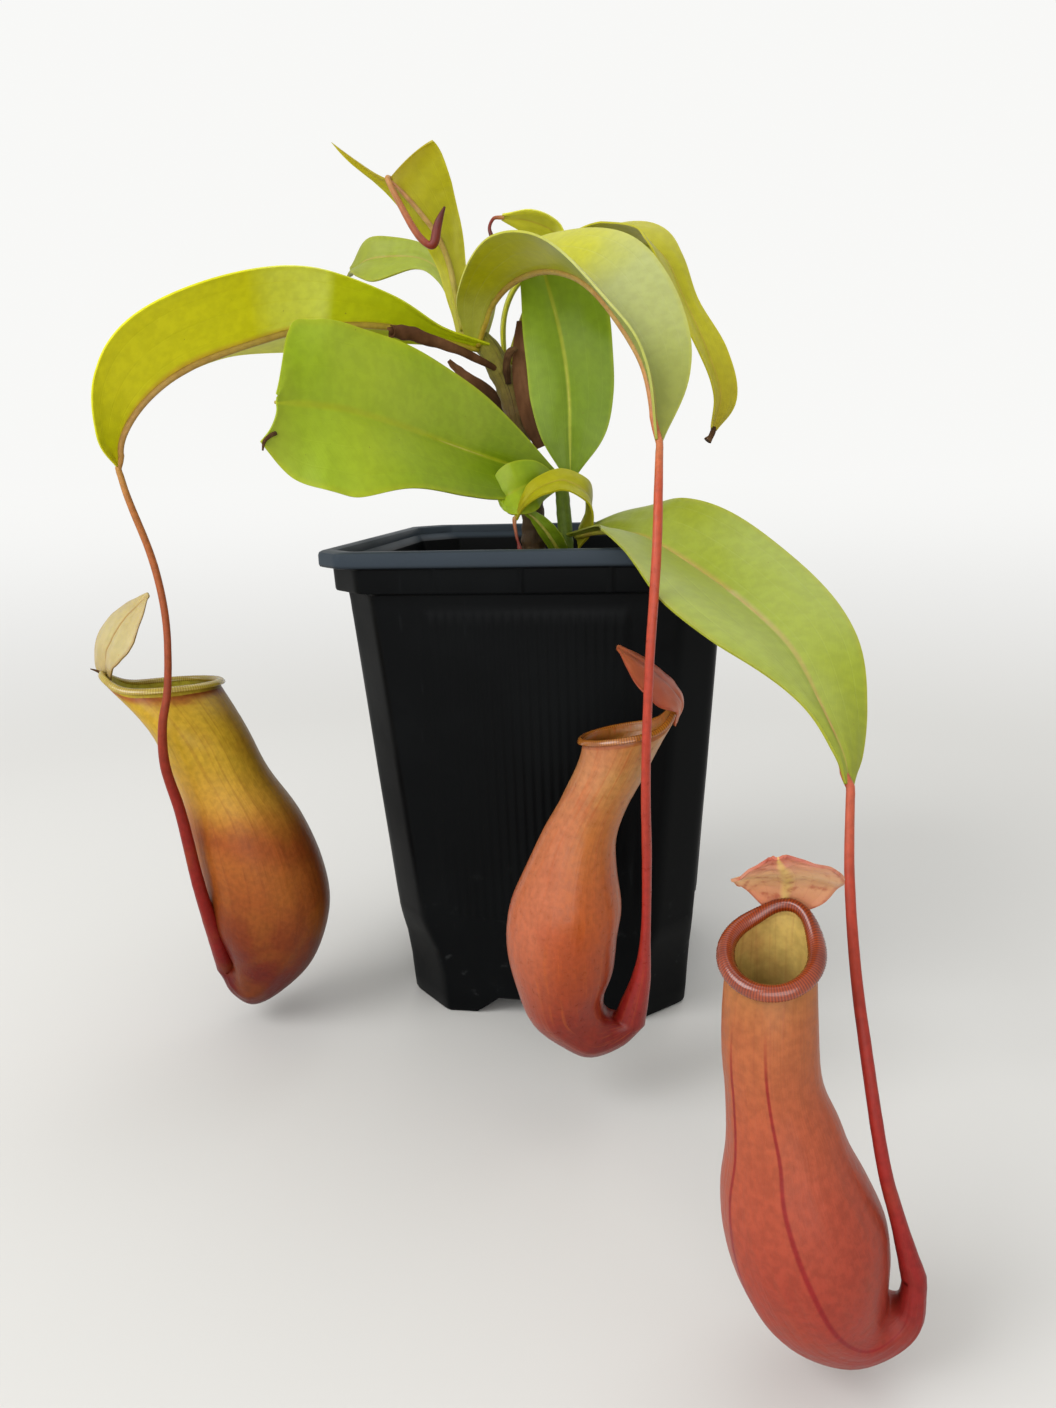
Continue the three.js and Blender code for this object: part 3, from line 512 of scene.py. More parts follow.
leaves = {
    "LeftLeaf": {
        "rib": [
            (-17, -1, 188), (-29, -8, 191), (-42, -18, 194), (-59, -30, 193), (-74, -41, 188),
            (-87, -49, 182), (-97, -53, 174), (-103, -55, 165), (-104, -55, 158),
        ],
        "across": (0.5, -0.85, 0),
        "halfA": [3, 4, 9, 16, 21, 21, 16, 8, 1.2],
        "halfB": [3, 5, 12, 19, 21, 19, 14, 8, 1.2],
        "roll": [18, 38, 26, 24, 32],
        "fold": [10, 24, 24],
        "faces": ("limeUnder", "lime"),
        "stands": "left_leaf",
    },
    "FrontLeaf": {
        "rib": [
            (2.5, -4, 151.5), (-10, -15, 156), (-21, -30, 161), (-31, -46, 166), (-39, -59, 169.5),
            (-44, -67, 170.5), (-47.5, -72.3, 170.8), (-50.6, -77, 171),
        ],
        "across": (-0.86, 0.5, 0),
        "halfA": [2, 11, 17, 21, 20, 19.5, 17, 2],
        "halfB": [2, 12, 16, 18, 22, 20, 17, 9],
        "shoulderB": 4,
        "roll": [86, 78, 76, 84, 92],
        "fold": [28, 11, -9],
        "faces": ("green", "greenUnder"),
        "ribLook": "paleRib",
        "stands": "front_leaf",
    },
    "CentreLeaf": {
        "rib": [
            (-20, -2, 188), (-17, -5, 194), (-13, -10, 200), (-5, -19, 204), (6.5, -34, 203.5),
            (18, -50, 197), (28.5, -66, 183.5), (33.5, -75, 173), (35.5, -81, 160),
        ],
        "across": (-0.75, -0.6, 0),
        "halfA": [3, 7, 11, 15, 17, 16.5, 11.5, 7.5, 1.2],
        "halfB": [3, 7.5, 12, 15, 16, 15.5, 13.5, 9.5, 1.2],
        "roll": [1, -22, -11, 6, 14],
        "fold": [39, 34, 50],
        "faces": ("pale", "limeUnder"),
        "stands": "centre_leaf",
    },
    "UprightLeaf": {
        "rib": [
            (7, -4, 152.5), (7, -4, 162), (7, -4, 173), (6, -4, 184), (4, -3, 194),
            (1.5, -2, 203), (-0.5, -1, 210), (-2, 1, 215),
        ],
        "across": (1, 0, 0),
        "halfA": [2.5, 10, 13, 14, 15, 14, 10, 2],
        "halfB": [2.5, 8, 11, 11, 10, 8, 6, 2],
        "roll": [0, -2, 0],
        "fold": [12, 11, 10],
        "faces": ("deep", "greenUnder"),
        "ribLook": "paleRib",
        "stands": "upright_leaf",
    },
    "RightLeaf": {
        "rib": [
            (6.5, -3.5, 135), (18, -24, 138), (25, -40, 138), (32, -54.5, 137.5), (42, -66, 132.5),
            (53, -81, 126), (62, -97, 119), (67, -110, 110.5), (70.5, -120, 103), (71.5, -124, 98),
        ],
        "across": (0.86, 0.5, 0),
        "halfA": [1.5, 7, 11, 14, 17.5, 17.5, 14.5, 10.5, 5, 1.2],
        "halfB": [1.5, 3, 7, 13, 17.5, 21, 16, 5, 2, 1.2],
        "roll": [4, 12, 2, -14],
        "fold": [44, 18, -13],
        "faces": ("soft", "greenUnder"),
        "stands": "right_leaf",
    },
    "YoungLeaf": {
        "rib": [
            (-24, 2, 192), (-26, 4, 202), (-28, 5, 212), (-31, 4, 220), (-35, 1, 226),
            (-39, -2, 231), (-42, -4, 234),
        ],
        "across": (1, 0, 0.2),
        "halfA": [2, 3, 5, 8, 12, 15, 15.5],
        "halfB": [2, 3, 4, 5, 5, 6, 7],
        "roll": [0, 3, -12],
        "fold": [20, 25, 30],
        "shoulderA": -2.5,
        "shoulderB": 17,
        "faces": ("lime", "limeUnder"),
        "ribLook": "pinkRib",
        "stands": "young_leaf",
        "wave": 0.3,
    },
    "RearLeftLeaf": {
        "rib": [
            (-19, 2, 188), (-24.5, 7, 199), (-31, 14, 210), (-40, 21, 217), (-51, 27, 219.5),
            (-61, 31, 219.5), (-67.5, 34, 216),
        ],
        "across": (0.7, 0.7, 0.3),
        "halfA": [2, 3, 3.5, 4, 6, 7, 3],
        "halfB": [2, 3, 3, 4, 11, 9, 3],
        "roll": [0, 40, 38],
        "fold": [16, 12, 25],
        "faces": ("soft", "greenUnder"),
        "ribLook": "paleRib",
        "stands": "rear_left_leaf",
    },
    "RearRightLeaf": {
        "rib": [
            (-12.5, 2.5, 180), (-7, 22, 201), (1, 34, 215), (12, 40, 222), (25, 42, 222),
            (33, 40, 216), (39, 35, 203), (46, 29, 187), (50, 25, 174), (48, 21, 164),
        ],
        "across": (0.5, 0.86, 0),
        "halfA": [1.5, 3, 6, 10, 11, 7, 5, 7, 6, 1.2],
        "halfB": [1.5, 3, 6, 10, 13, 13, 10, 7, 5, 1.2],
        "roll": [12, 9, 10],
        "fold": [40, 24, 17],
        "faces": ("lime", "limeUnder"),
        "ribLook": "paleRib",
        "stands": "rear_right_leaf",
    },
    "RearLeaf": {
        "rib": [
            (-11.5, 2.5, 174), (-14.5, 11, 194), (-11.5, 15, 206), (-4, 17, 212.5), (1.5, 16.3, 216),
            (1.5, 14.3, 220.5), (-5, 11.5, 223.5), (-13, 9, 224.5),
        ],
        "across": (0.1, 1, -0.2),
        "halfA": [2.5, 3, 3.5, 3.5, 3, 4, 4.5, 1],
        "halfB": [2.5, 3, 3.5, 3.5, 3, 4, 4.5, 1],
        "roll": [10, 38, 26],
        "fold": [11, 4, 7],
        "faces": ("bright", "bright"),
        "ribLook": "paleRib",
        "stands": "rear_leaf",
        "wave": 0.2,
    },
    "BasalRoundLeaf": {
        "rib": [(4, -9, 150), (-1, -17, 150.5), (-5, -21, 149), (-9, -23, 147), (-11, -23, 146)],
        "across": (0, 0.3, 1),
        "halfA": [2, 6, 7.5, 6, 2],
        "halfB": [2, 6, 7.5, 6, 2],
        "roll": [0, 0],
        "fold": [6, 10],
        "faces": ("green", "greenUnder"),
        "ribLook": "paleRib",
        "stands": "basal_round_leaf",
        "wave": 0.2,
    },
    "BasalCurledLeaf": {
        "rib": [
            (9, -5, 134), (13, -12, 141), (13, -17, 147.5), (7, -20, 151), (1, -23, 149.5),
            (-3, -25, 146), (-6, -25, 141),
        ],
        "across": (0.1, -0.75, -0.6),
        "halfA": [4, 6, 5.5, 5, 4.5, 3.5, 1.2],
        "halfB": [4, 6, 5, 4, 3.5, 2.5, 1.2],
        "roll": [0, 0, 0],
        "fold": [12, 12, 12],
        "faces": ("lime", "limeUnder"),
        "ribLook": "paleRib",
        "stands": "basal_curled_leaf",
        "wave": 0.2,
    },
    "BasalDarkLeaf": {
        "rib": [(4.5, -4, 128), (3, -10, 133), (0, -14, 138.5), (-4, -15, 142.5)],
        "across": (0.8, -0.2, 0.3),
        "halfA": [2, 3, 2.5, 1],
        "halfB": [2, 3, 2.5, 1],
        "roll": [0, 0],
        "fold": [20, 20],
        "faces": ("deep", "deep"),
        "ribLook": "paleRib",
        "stands": "basal_dark_leaf",
        "wave": 0.1,
    },
}
leafShape = {
    "thick": 0.55,
    "rows": 84,
    "columns": 26,
    "softFold": 1.5,  # the valley at the midrib is this round
    "wave": 0.7,
    "waves": 2.6,
    "bulge": 0.05,  # each half bows up by this share of its width
    "groove": 0.25,
}


def leafLine(leaf, t):
    # place, heading, direction to margin a and direction of the upper face at t
    rib, reference = leaf["ribPoints"], Vector(leaf["across"])
    along = heading(rib, t)
    side = squareTo(along, reference)
    face = side.cross(along) * leaf["sign"]
    roll = math.radians(smooth(leaf["roll"], t))
    return (
        smooth(rib, t),
        along,
        side * math.cos(roll) + face * math.sin(roll),
        face * math.cos(roll) - side * math.sin(roll),
    )


def leafPlace(leaf, line, t, s, seed):
    at, along, side, face = line
    half = max(smooth(leaf["halfA" if s > 0 else "halfB"], t), 0.2)
    out = abs(s) * half
    fold = math.radians(smooth(leaf["fold"], t))
    soft = leafShape["softFold"]
    lift = (math.sqrt(out * out + soft * soft) - soft) * math.sin(fold)
    wave = leaf.get("wave", leafShape["wave"]) * min(half / 12, 1.2)
    phase = math.tau * leafShape["waves"] * t + seed + (2.1 if s > 0 else 0)
    lift += wave * s * s * math.sin(phase) * math.sin(math.pi * t) ** 0.5
    lift += leaf.get("bulge", leafShape["bulge"]) * half * 4 * abs(s) * (1 - abs(s))
    lift -= leafShape["groove"] * bump(out, 0.9)
    lift += 0.25 * noise.noise(Vector((t * 9, s * 3, seed)))
    shoulder = leaf.get("shoulderA" if s > 0 else "shoulderB", 0) * s * s * t**4
    spread = math.copysign(out * math.cos(fold), s)
    return at + along * shoulder + side * spread + face * lift


def prepareLeaf(leaf):
    leaf["ribPoints"] = [Vector(p) for p in leaf["rib"]]
    along = heading(leaf["ribPoints"], 0.5)
    leaf["sign"] = 1 if squareTo(along, Vector(leaf["across"])).cross(along).z > 0 else -1


def layBlade(name, leaf, rows, columns, thick, seed):
    # a grid laid on the rib, then given its thickness downwards
    prepareLeaf(leaf)
    bpy.ops.object.select_all(action="DESELECT")
    bpy.ops.mesh.primitive_grid_add(x_subdivisions=rows, y_subdivisions=columns, size=2)
    piece = startPiece(name)
    lines = {}
    for vertex in piece.data.vertices:
        t, s = (vertex.co.x + 1) / 2, -vertex.co.y * leaf["sign"]
        key = round(t, 5)
        if key not in lines:
            lines[key] = leafLine(leaf, t)
        vertex.co = spot(leafPlace(leaf, lines[key], t, s, seed))
    applyModifier(
        piece, "SOLIDIFY", thickness=thick * mm, offset=-1, use_even_offset=False,
        material_offset=1, material_offset_rim=1,
    )
    return piece


def ribPath(leaf, count, radius, start=0.02, end=1.0):
    # the midrib stands out under the blade; the path lies a little below it
    points = []
    for k in range(count):
        t = start + (end - start) * k / (count - 1)
        at, along, side, face = leafLine(leaf, t)
        points.append(at - face * (radius + 0.3))
    return points


def makeLeaves():
    for seed, (name, leaf) in enumerate(leaves.items()):
        big = max(leaf["halfA"]) > 8
        rows, columns = (leafShape["rows"], leafShape["columns"]) if big else (48, 16)
        piece = layBlade(name, leaf, rows, columns, leafShape["thick"], seed * 1.7)
        upper, under = (leafMaterials[key] for key in leaf["faces"])
        finishPiece(piece, (upper, under), (leaf["stands"],), angle=50)
        if "ribLook" in leaf:
            radius = 0.75 if big else 0.45
            path = ribPath(leaf, 14, radius)
            radii = [radius * 0.9, radius * 1.1, radius, radius * 0.8, radius * 0.5]
            midrib = growTube(name + "Midrib", path, radii, 12, 60)
            finishPiece(midrib, (tubeMaterials[leaf["ribLook"]],))
    print("leaves laid:", len(leaves))


makeLeaves()


# Dead tissue on the stem

deadLeaves = {
    "DriedSheath": {
        "rib": [(-1, -5, 160), (-4, -5, 168), (-6, -4, 178), (-7, -3, 187), (-7, -2, 195)],
        "across": (1, 0, 0),
        "halfA": [2, 3, 3.2, 2, 0.7],
        "halfB": [2, 3, 3.2, 2.2, 0.7],
        "roll": [0, 0],
        "fold": [-20, -20],
        "wave": 0.9,
        "stands": "dried_sheath",
    },
    "DriedStrip": {
        "rib": [(-10.5, 2, 169), (-19, 6, 177), (-26, 7, 182), (-30, 7, 186)],
        "across": (0.3, 0.3, 0.8),
        "halfA": [2, 1.8, 1.4, 0.6],
        "halfB": [2, 1.8, 1.4, 0.6],
        "roll": [0, 0],
        "fold": [0, 0],
        "wave": 1.4,
        "stands": "dried_strip",
    },
}
rolledLeaf = {
    "path": [(-13.5, -2, 182), (-23, -11, 187), (-30, -18, 189.5), (-35, -21.5, 191), (-38.5, -24.5, 191)],
    "radius": [0.8, 1.4, 1.8, 1.9, 1.7],
    "turns": 1.7,
    "crumple": 0.5,
    "sheet": 0.35,
}


def makeRolledLeaf():
    bpy.ops.object.select_all(action="DESELECT")
    bpy.ops.mesh.primitive_grid_add(x_subdivisions=70, y_subdivisions=44, size=2)
    piece = startPiece("DriedRolledLeaf")
    path = [Vector(p) for p in rolledLeaf["path"]]
    for vertex in piece.data.vertices:
        t, roll = (vertex.co.x + 1) / 2, (vertex.co.y + 1) / 2
        along = heading(path, t)
        side = squareTo(along, Vector((0, 0, 1)))
        turn = math.tau * rolledLeaf["turns"] * roll + 0.6 + t
        reach = smooth(rolledLeaf["radius"], t) * (0.35 + 0.65 * roll)
        reach += rolledLeaf["crumple"] * noise.noise(Vector((t * 7, roll * 5, 3))) * (0.4 + roll)
        at = smooth(path, t) + along * (2.5 * noise.noise(Vector((roll * 4, 1, 7))) * t)
        vertex.co = spot(at + (side * math.cos(turn) + along.cross(side) * math.sin(turn)) * reach)
    applyModifier(piece, "SOLIDIFY", thickness=rolledLeaf["sheet"] * mm, offset=0)
    finishPiece(piece, (driedLeaf,), ("dried_rolled_leaf",), angle=60)


for seed, (name, leaf) in enumerate(deadLeaves.items()):
    piece = layBlade(name, leaf, 40, 12, 0.35, seed + 30)
    finishPiece(piece, (driedLeaf, driedLeaf), (leaf["stands"],), angle=60)
makeRolledLeaf()
print("dead leaves made")


# Stems and small tendrils

rods = {
    "MainStem": {
        "path": [(-5, 0, 112), (-5, 0, 131), (-5, 0, 145), (-8, 0, 162), (-11, 0, 176), (-16, 0, 187), (-22, 0, 194)],
        "radius": [3.6, 3.5, 3.2, 3.0, 3.2, 3.4, 2.0],
        "sides": 28, "steps": 130, "knots": 0.14, "material": "stem", "stands": "main_stem",
    },
    "SideShoot": {
        "path": [(5, -2, 112), (5, -2, 132), (4.5, -2, 143), (4, -3, 152)],
        "radius": [2.2, 2.2, 2.1, 1.8],
        "sides": 20, "steps": 60, "knots": 0.06, "material": "shoot", "stands": "side_shoot",
    },
    "DriedStub": {
        "path": [(-10.5, -3, 178), (-10.5, -5, 183), (-9.3, -5.3, 186.3), (-7.3, -5, 187.3)],
        "radius": [0.9, 1, 1.1, 0.6],
        "sides": 14, "steps": 40, "knots": 0.25, "material": "dried", "stands": "dried_stub",
    },
    "YoungTendril": {
        "path": [
            (-42, -4, 234), (-42, -5.6, 233), (-38.5, -6.5, 226), (-34.5, -7, 219), (-31.5, -7, 215.8),
            (-29.5, -7, 216), (-28, -7, 221), (-26, -7, 225),
        ],
        "radius": [0.7, 0.8, 0.9, 1, 1, 1.3, 1.1, 0.3],
        "sides": 16, "steps": 90, "knots": 0.03, "material": "crimson", "stands": "young_tendril",
    },
    "RearTendril": {
        "path": [(-12.4, 9.1, 224.6), (-13.4, 8.8, 224.6), (-15.3, 8.2, 224.3), (-16.4, 7.3, 221.8), (-15.6, 6.6, 218.8)],
        "radius": [0.6, 0.6, 0.5, 0.5, 0.7],
        "sides": 12, "steps": 50, "knots": 0.05, "material": "crimson", "stands": "rear_tendril",
    },
    "RearRightTendril": {
        "path": [(48, 21, 164.5), (47.7, 20.4, 163.2), (46.8, 19.8, 161.6), (46, 19.4, 160.6)],
        "radius": [0.6, 0.8, 0.9, 1.3],
        "sides": 12, "steps": 40, "knots": 0.3, "material": "dried", "stands": "rear_right_tendril",
    },
    "FrontTendril": {
        "path": [(-51.2, -78, 164.2), (-52.1, -79.2, 163.6), (-53.3, -80, 162.4), (-53.8, -80.2, 160.4)],
        "radius": [0.5, 0.45, 0.4, 0.2],
        "sides": 12, "steps": 50, "knots": 0.25, "material": "dried", "stands": "front_tendril",
    },
    "BasalTendril": {
        "path": [(-6, -24.8, 141.5), (-6.1, -25, 140.4), (-5.6, -25.5, 136.5), (-4.7, -26, 133), (-4.5, -26, 130.2)],
        "radius": [0.5, 0.55, 0.4, 0.55, 1.1],
        "sides": 12, "steps": 60, "knots": 0.35, "material": "crimson", "stands": "basal_tendril",
    },
}


def knotty(amount, pace):
    # uneven girth, with a low ring wherever a leaf has fallen off
    def outline(turn, ring):
        at = ring["at"]
        swell = 1 + amount * noise.noise(Vector((math.cos(turn), math.sin(turn), at.z * pace)))
        swell += amount * 0.6 * bump(math.sin(at.z * 0.26), 0.22)
        return swell, Vector()

    return outline


def makeRods():
    for name, rod in rods.items():
        piece = growTube(name, rod["path"], rod["radius"], rod["sides"], rod["steps"], knotty(rod["knots"], 0.45))
        finishPiece(piece, (tubeMaterials[rod["material"]],), (rod["stands"],))
    print("stems and small tendrils grown:", len(rods))


makeRods()


# Pitchers. rings: back and front point of each ring in the pitcher's upright plane, [out, height, out, height],
# from the tendril to the mouth. The back is the side that carries the lid.

pitchers = {
    "Left": {
        "leaf": "LeftLeaf",
        "foot": (-80, -48),
        "plane": (0.9, 0.436),
        "rings": [
            (-8, 19, -12, 14.5), (-8.5, 20, -9.5, 9), (-9, 21.5, -3.5, 5), (-11, 26, 5, 8.5),
            (-14, 35, 14.5, 17.5), (-15, 46, 20, 32), (-16.5, 57, 19, 46), (-17.5, 68, 14, 61),
            (-20.5, 79, 6, 75), (-25, 91, 1, 88),
        ],
        "mouth": {"at": (-101, -48, 98.5), "radius": 15.4, "faces": (-0.04, 0.08, 1)},
        "point": 0.12,  # how far the mouth is drawn out towards the lid, as a share of its radius
        "rise": 4.5,  # and how far it climbs
        "path": [
            (-101, -57, 149.5), (-94.5, -60, 134), (-90.5, -64, 119), (-89.5, -68.5, 103), (-91, -70.5, 93),
            (-92, -69.5, 82), (-90.4, -67.2, 68.5), (-88.7, -65.3, 49), (-88.2, -62, 36.5), (-88.6, -56.5, 24),
        ],
        "radius": [0.9, 1, 0.9, 0.9, 1, 1.2, 1.4, 1.6, 1.9, 2.1, 2.3],
        "wings": ((0.35, 0.45), (2.5, 0.45)),  # place around the cup in radians, height in mm
        "lip": {"wide": 2.3, "thick": 1.5, "ribs": 140},
        "lid": {
            "rib": [(-115.3, -52.8, 99.3), (-115.2, -53, 108), (-110, -52, 117), (-102, -51, 124.5)],
            "across": (0.3, -0.95, 0),
            "halfA": [2.5, 9.5, 9.5, 1],
            "halfB": [2.5, 9, 8.5, 1],
            "roll": [-28, -34],
            "fold": [14, -20],
            "wave": 1.1,
        },
    },
    "Centre": {
        "leaf": "CentreLeaf",
        "foot": (23.5, -81),
        "plane": (0.995, 0.1),
        "rings": [
            (1, 24.5, 8.5, 22.5), (-1, 26, 3, 17), (-1.5, 27.5, -5, 14.3), (-1.5, 29, -11.5, 17),
            (-1, 32, -19, 23.5), (1, 37.5, -22.5, 33), (2, 46, -24.5, 43.5), (3, 53.5, -23.5, 53.5),
            (2, 63, -19.5, 63), (2, 70.5, -15, 72.5), (4.5, 78, -11.5, 78.5), (8.5, 85.5, -9, 83.5),
            (12, 92.5, -6.5, 88.5),
        ],
        "mouth": {"at": (28, -81, 95.3), "radius": 11.3, "faces": (-0.16, 0.08, 0.98)},
        "point": 0.18,
        "rise": 5.0,
        "path": [
            (35.5, -86, 151.5), (35.4, -92, 139), (34.7, -94.5, 126), (34, -95.5, 115), (33.3, -95.5, 98),
            (33, -93.5, 84), (33, -90, 68.5), (32.5, -85.5, 50), (31.3, -82.5, 36.5),
        ],
        "radius": [0.9, 1, 1, 1, 1, 1, 1.1, 1.2, 1.5, 2.1],
        "wings": ((2.7, 0.2), (0.5, 0.3)),
        "lip": {"wide": 1.8, "thick": 1.2, "ribs": 120},
        "lid": {
            "rib": [(39.2, -80, 97.5), (40.4, -80, 102.5), (37.3, -81, 107.2), (32.4, -82, 111.8), (26.5, -83, 116)],
            "across": (-0.1, -1, 0),
            "halfA": [2, 5.5, 8.5, 7.5, 1],
            "halfB": [2, 5.5, 8.5, 7.5, 1],
            "roll": [0, -12],
            "fold": [-4, -24],
            "wave": 0.9,
        },
    },
    "Right": {
        "leaf": "RightLeaf",
        "foot": (65, -153),
        "plane": (0.985, -0.17),
        "rings": [
            (14, 22, 18, 20.5), (13.6, 18.5, 17.6, 13), (13, 17, 13.5, 7.5), (12, 17, 6.5, 4),
            (12, 20.5, -1.5, 5.5), (12, 25.5, -8.5, 10.5), (11, 31, -13.2, 18), (8, 37.5, -15.7, 26),
            (5, 43, -16.5, 34.5), (3, 48, -15.7, 43),
            (0, 55, -16, 53), (-1, 65, -17, 63),
        ],
        "mouth": {"at": (56.2, -151.5, 77.3), "radius": 8.2, "faces": (-0.12, -0.5, 0.86), "lidTurn": -0.35},
        "point": 0.24,
        "rise": 1.4,
        "path": [(70.7, -133, 84), (71, -142, 71), (72.3, -149, 59), (75, -154, 42), (78, -155, 31)],
        "radius": [0.9, 0.9, 1, 1.1, 1.3, 1.9],
        "wings": ((math.pi + 0.1, 0.35), (2.33, 0.35)),
        "lip": {"wide": 3.0, "thick": 2.0, "ribs": 110},
        "lid": {
            "rib": [(58.3, -143.6, 82.2), (59, -145, 87), (58.5, -149, 90.5), (57.5, -151.5, 93), (56.8, -153, 95)],
            "across": (1, 0, 0),
            "halfA": [3.5, 6.5, 8, 8.8, 9, 7.4, 5.4, 3.4, 1.5],
            "halfB": [3.5, 6.5, 8, 8.8, 9, 7.4, 5.4, 3.4, 1.5],
            "roll": [0, 0],
            "fold": [-4, -8],
            "wave": 1.0,
        },
    },
}
cupShape = {
    "sides": 72,
    "wall": 1.0,
    "outsideSteps": 58,
    "insideSteps": 34,
    "hollowFrom": 0.3,  # the foot of the cup is solid up to here
    "wingWidth": 0.13,
}

cupLooks = {
    "Left": {
        "along": [
            (0.0, "#a1961f"), (0.2, "#b08a50"), (0.25, "#a8793c"), (0.29, "#97552c"), (0.34, "#873a22"), (0.4, "#7c1f16"),
            (0.47, "#761412"), (0.505, "#520b0a"), (0.55, "#540e0b"), (0.585, "#5c170b"), (0.612, "#743413"), (0.635, "#8c4a1c"),
            (0.65, "#94521f"), (0.662, "#8a441b"), (0.672, "#a06424"), (0.684, "#b4852f"), (0.71, "#b28e24"), (0.735, "#aa8822"),
            (0.74, "#8a4a20"), (0.746, "#8c4e22"), (0.75, "#a8922a"), (0.77, "#a59a26"), (1.0, "#948228"),
        ],
        # painted shade: the side colour darkens the lower right flank of the cup
        "side": "#431606", "sideTurn": (-0.1, 1.0), "sideFrom": 0.35, "sideBetween": (0.5, 0.56), "sideAmount": 0.55,
        "streakColour": "#6b2c0f", "streak": 0.22, "patchColour": "#8e5a1b", "patch": 0.2, "glow": 0.06, "wax": 0.08, "shine": 0.12,
    },
    "Centre": {
        "along": [
            (0.0, "#a1961f"), (0.2, "#b08a50"), (0.25, "#b76b41"), (0.28, "#ad462b"), (0.38, "#a43325"), (0.47, "#982420"),
            (0.505, "#6c140f"), (0.54, "#68170e"), (0.58, "#7a220e"), (0.63, "#a24a1a"), (0.68, "#a4602a"),
            (0.72, "#a87740"), (0.742, "#a56e35"), (0.752, "#8d4e1f"), (0.78, "#8b6025"), (1.0, "#865623"),
        ],
        # painted sheen: the side colour lays a pinkish-grey sheen patch on one flank of the belly
        "side": "#a7634a", "sideTurn": (-0.62, 0.78), "sideFrom": 0.6, "sideBetween": (0.57, 0.64), "sideAmount": 0.5,
        "streakColour": "#a44e1b", "streak": 0.4, "patchColour": "#923922", "patch": 0.3, "glow": 0.06, "wax": 0.22, "shine": 0.2, "gloss": 0.27,
    },
    "Right": {
        "along": [
            (0.0, "#a1a032"), (0.2, "#b08a50"), (0.25, "#af593f"), (0.3, "#9f3928"), (0.38, "#8b251e"), (0.47, "#821d1b"),
            (0.505, "#7c1b18"), (0.53, "#7f221d"), (0.58, "#882e24"), (0.63, "#8f3828"), (0.67, "#9a4630"), (0.7, "#9b4c30"),
            (0.725, "#9c5733"), (0.742, "#9b6437"), (0.752, "#a4794a"), (0.78, "#b89c56"), (1.0, "#b0934c"),
        ],
        "streakColour": "#8a4430", "streak": 0.18, "patchColour": "#8c3a26", "patch": 0.3, "glow": 0.06, "wax": 0.12, "shine": 0.12,
        "wings": ((0.0, 0.3, 0.85), (-0.716, -0.28, 0.85)), "wingColour": "#7c1418",
    },
}
lipLooks = {
    "Left": ("#b09e3c", "#86691c"),
    "Centre": ("#a0611c", "#6a3612"),
    "Right": ("#93390c", "#561808"),
}
lidLooks = {
    "Left": {
        "along": [(0.0, "#9e844f"), (0.5, "#ad9f6e"), (1.0, "#a6925c")],
        "patchColour": "#b2a87e", "veins": "#9c884b", "rib": "#95723a", "edge": "#8b5f2f",
        "under": "#9e7f3e",
    },
    "Centre": {
        "along": [(0.0, "#a8582e"), (0.5, "#a3503a"), (1.0, "#9c5434")],
        "patchColour": "#b06a52", "veins": "#964030", "rib": "#8c3c2a", "edge": "#8a3222",
        "under": "#a05e28",
    },
    "Right": {
        "along": [(0.0, "#c47c5c"), (0.45, "#d4b080"), (0.75, "#c88c70"), (1.0, "#ac5444")],
        "patchColour": "#c98a70", "veins": "#b06450", "rib": "#cfae6a", "edge": "#8e3a34", "ribWidth": 0.16,
        "under": "#bf8a5e", "speckScale": 560, "speckFrom": 0.5, "specks": 1.0,
    },
}


def frontAndBack(pitcher):
    level = Vector((*pitcher["plane"], 0)).normalized()
    last = pitcher["rings"][-1]
    flank = Vector((0, 0, 1)).cross(level) * (1 if last[0] > last[2] else -1)
    return level, flank


def bodyRings(pitcher):
    # control rings of the cup, closing with the mouth
    level, flank = frontAndBack(pitcher)
    foot = Vector((*pitcher["foot"], 0))
    rings = []
    for backOut, backUp, frontOut, frontUp in pitcher["rings"]:
        back = foot + level * backOut + Vector((0, 0, backUp))
        front = foot + level * frontOut + Vector((0, 0, frontUp))
        half = (front - back) / 2
        rings.append(((back + front) / 2, flank * half.length, half))
    mouth = pitcher["mouth"]
    faces = Vector(mouth["faces"]).normalized()
    side = squareTo(faces, flank)
    size = mouth["radius"] - 0.9
    rings.append((Vector(mouth["at"]) - faces * 1.2, side * size, faces.cross(side) * size))
    return rings


def lidSide(pitcher, turn, width):
    # 1 where the mouth is nearest the lid, falling to 0 on both sides of it
    off = turn - pitcher["mouth"].get("lidTurn", -math.pi / 2)
    return bump((off + math.pi) % math.tau - math.pi, width)


def mouthEdge(pitcher, turn, less=0.0, up=0.0):
    # a place on the mouth: teardrop, drawn out and up towards the lid at the back
    mouth = pitcher["mouth"]
    faces = Vector(mouth["faces"]).normalized()
    side = squareTo(faces, frontAndBack(pitcher)[1])
    front = faces.cross(side)
    back = lidSide(pitcher, turn, 0.55)
    reach = mouth["radius"] * (1 + pitcher["point"] * back) - less
    outward = side * math.cos(turn) + front * math.sin(turn)
    return Vector(mouth["at"]) + outward * reach + faces * (up + pitcher["rise"] * back), outward, faces


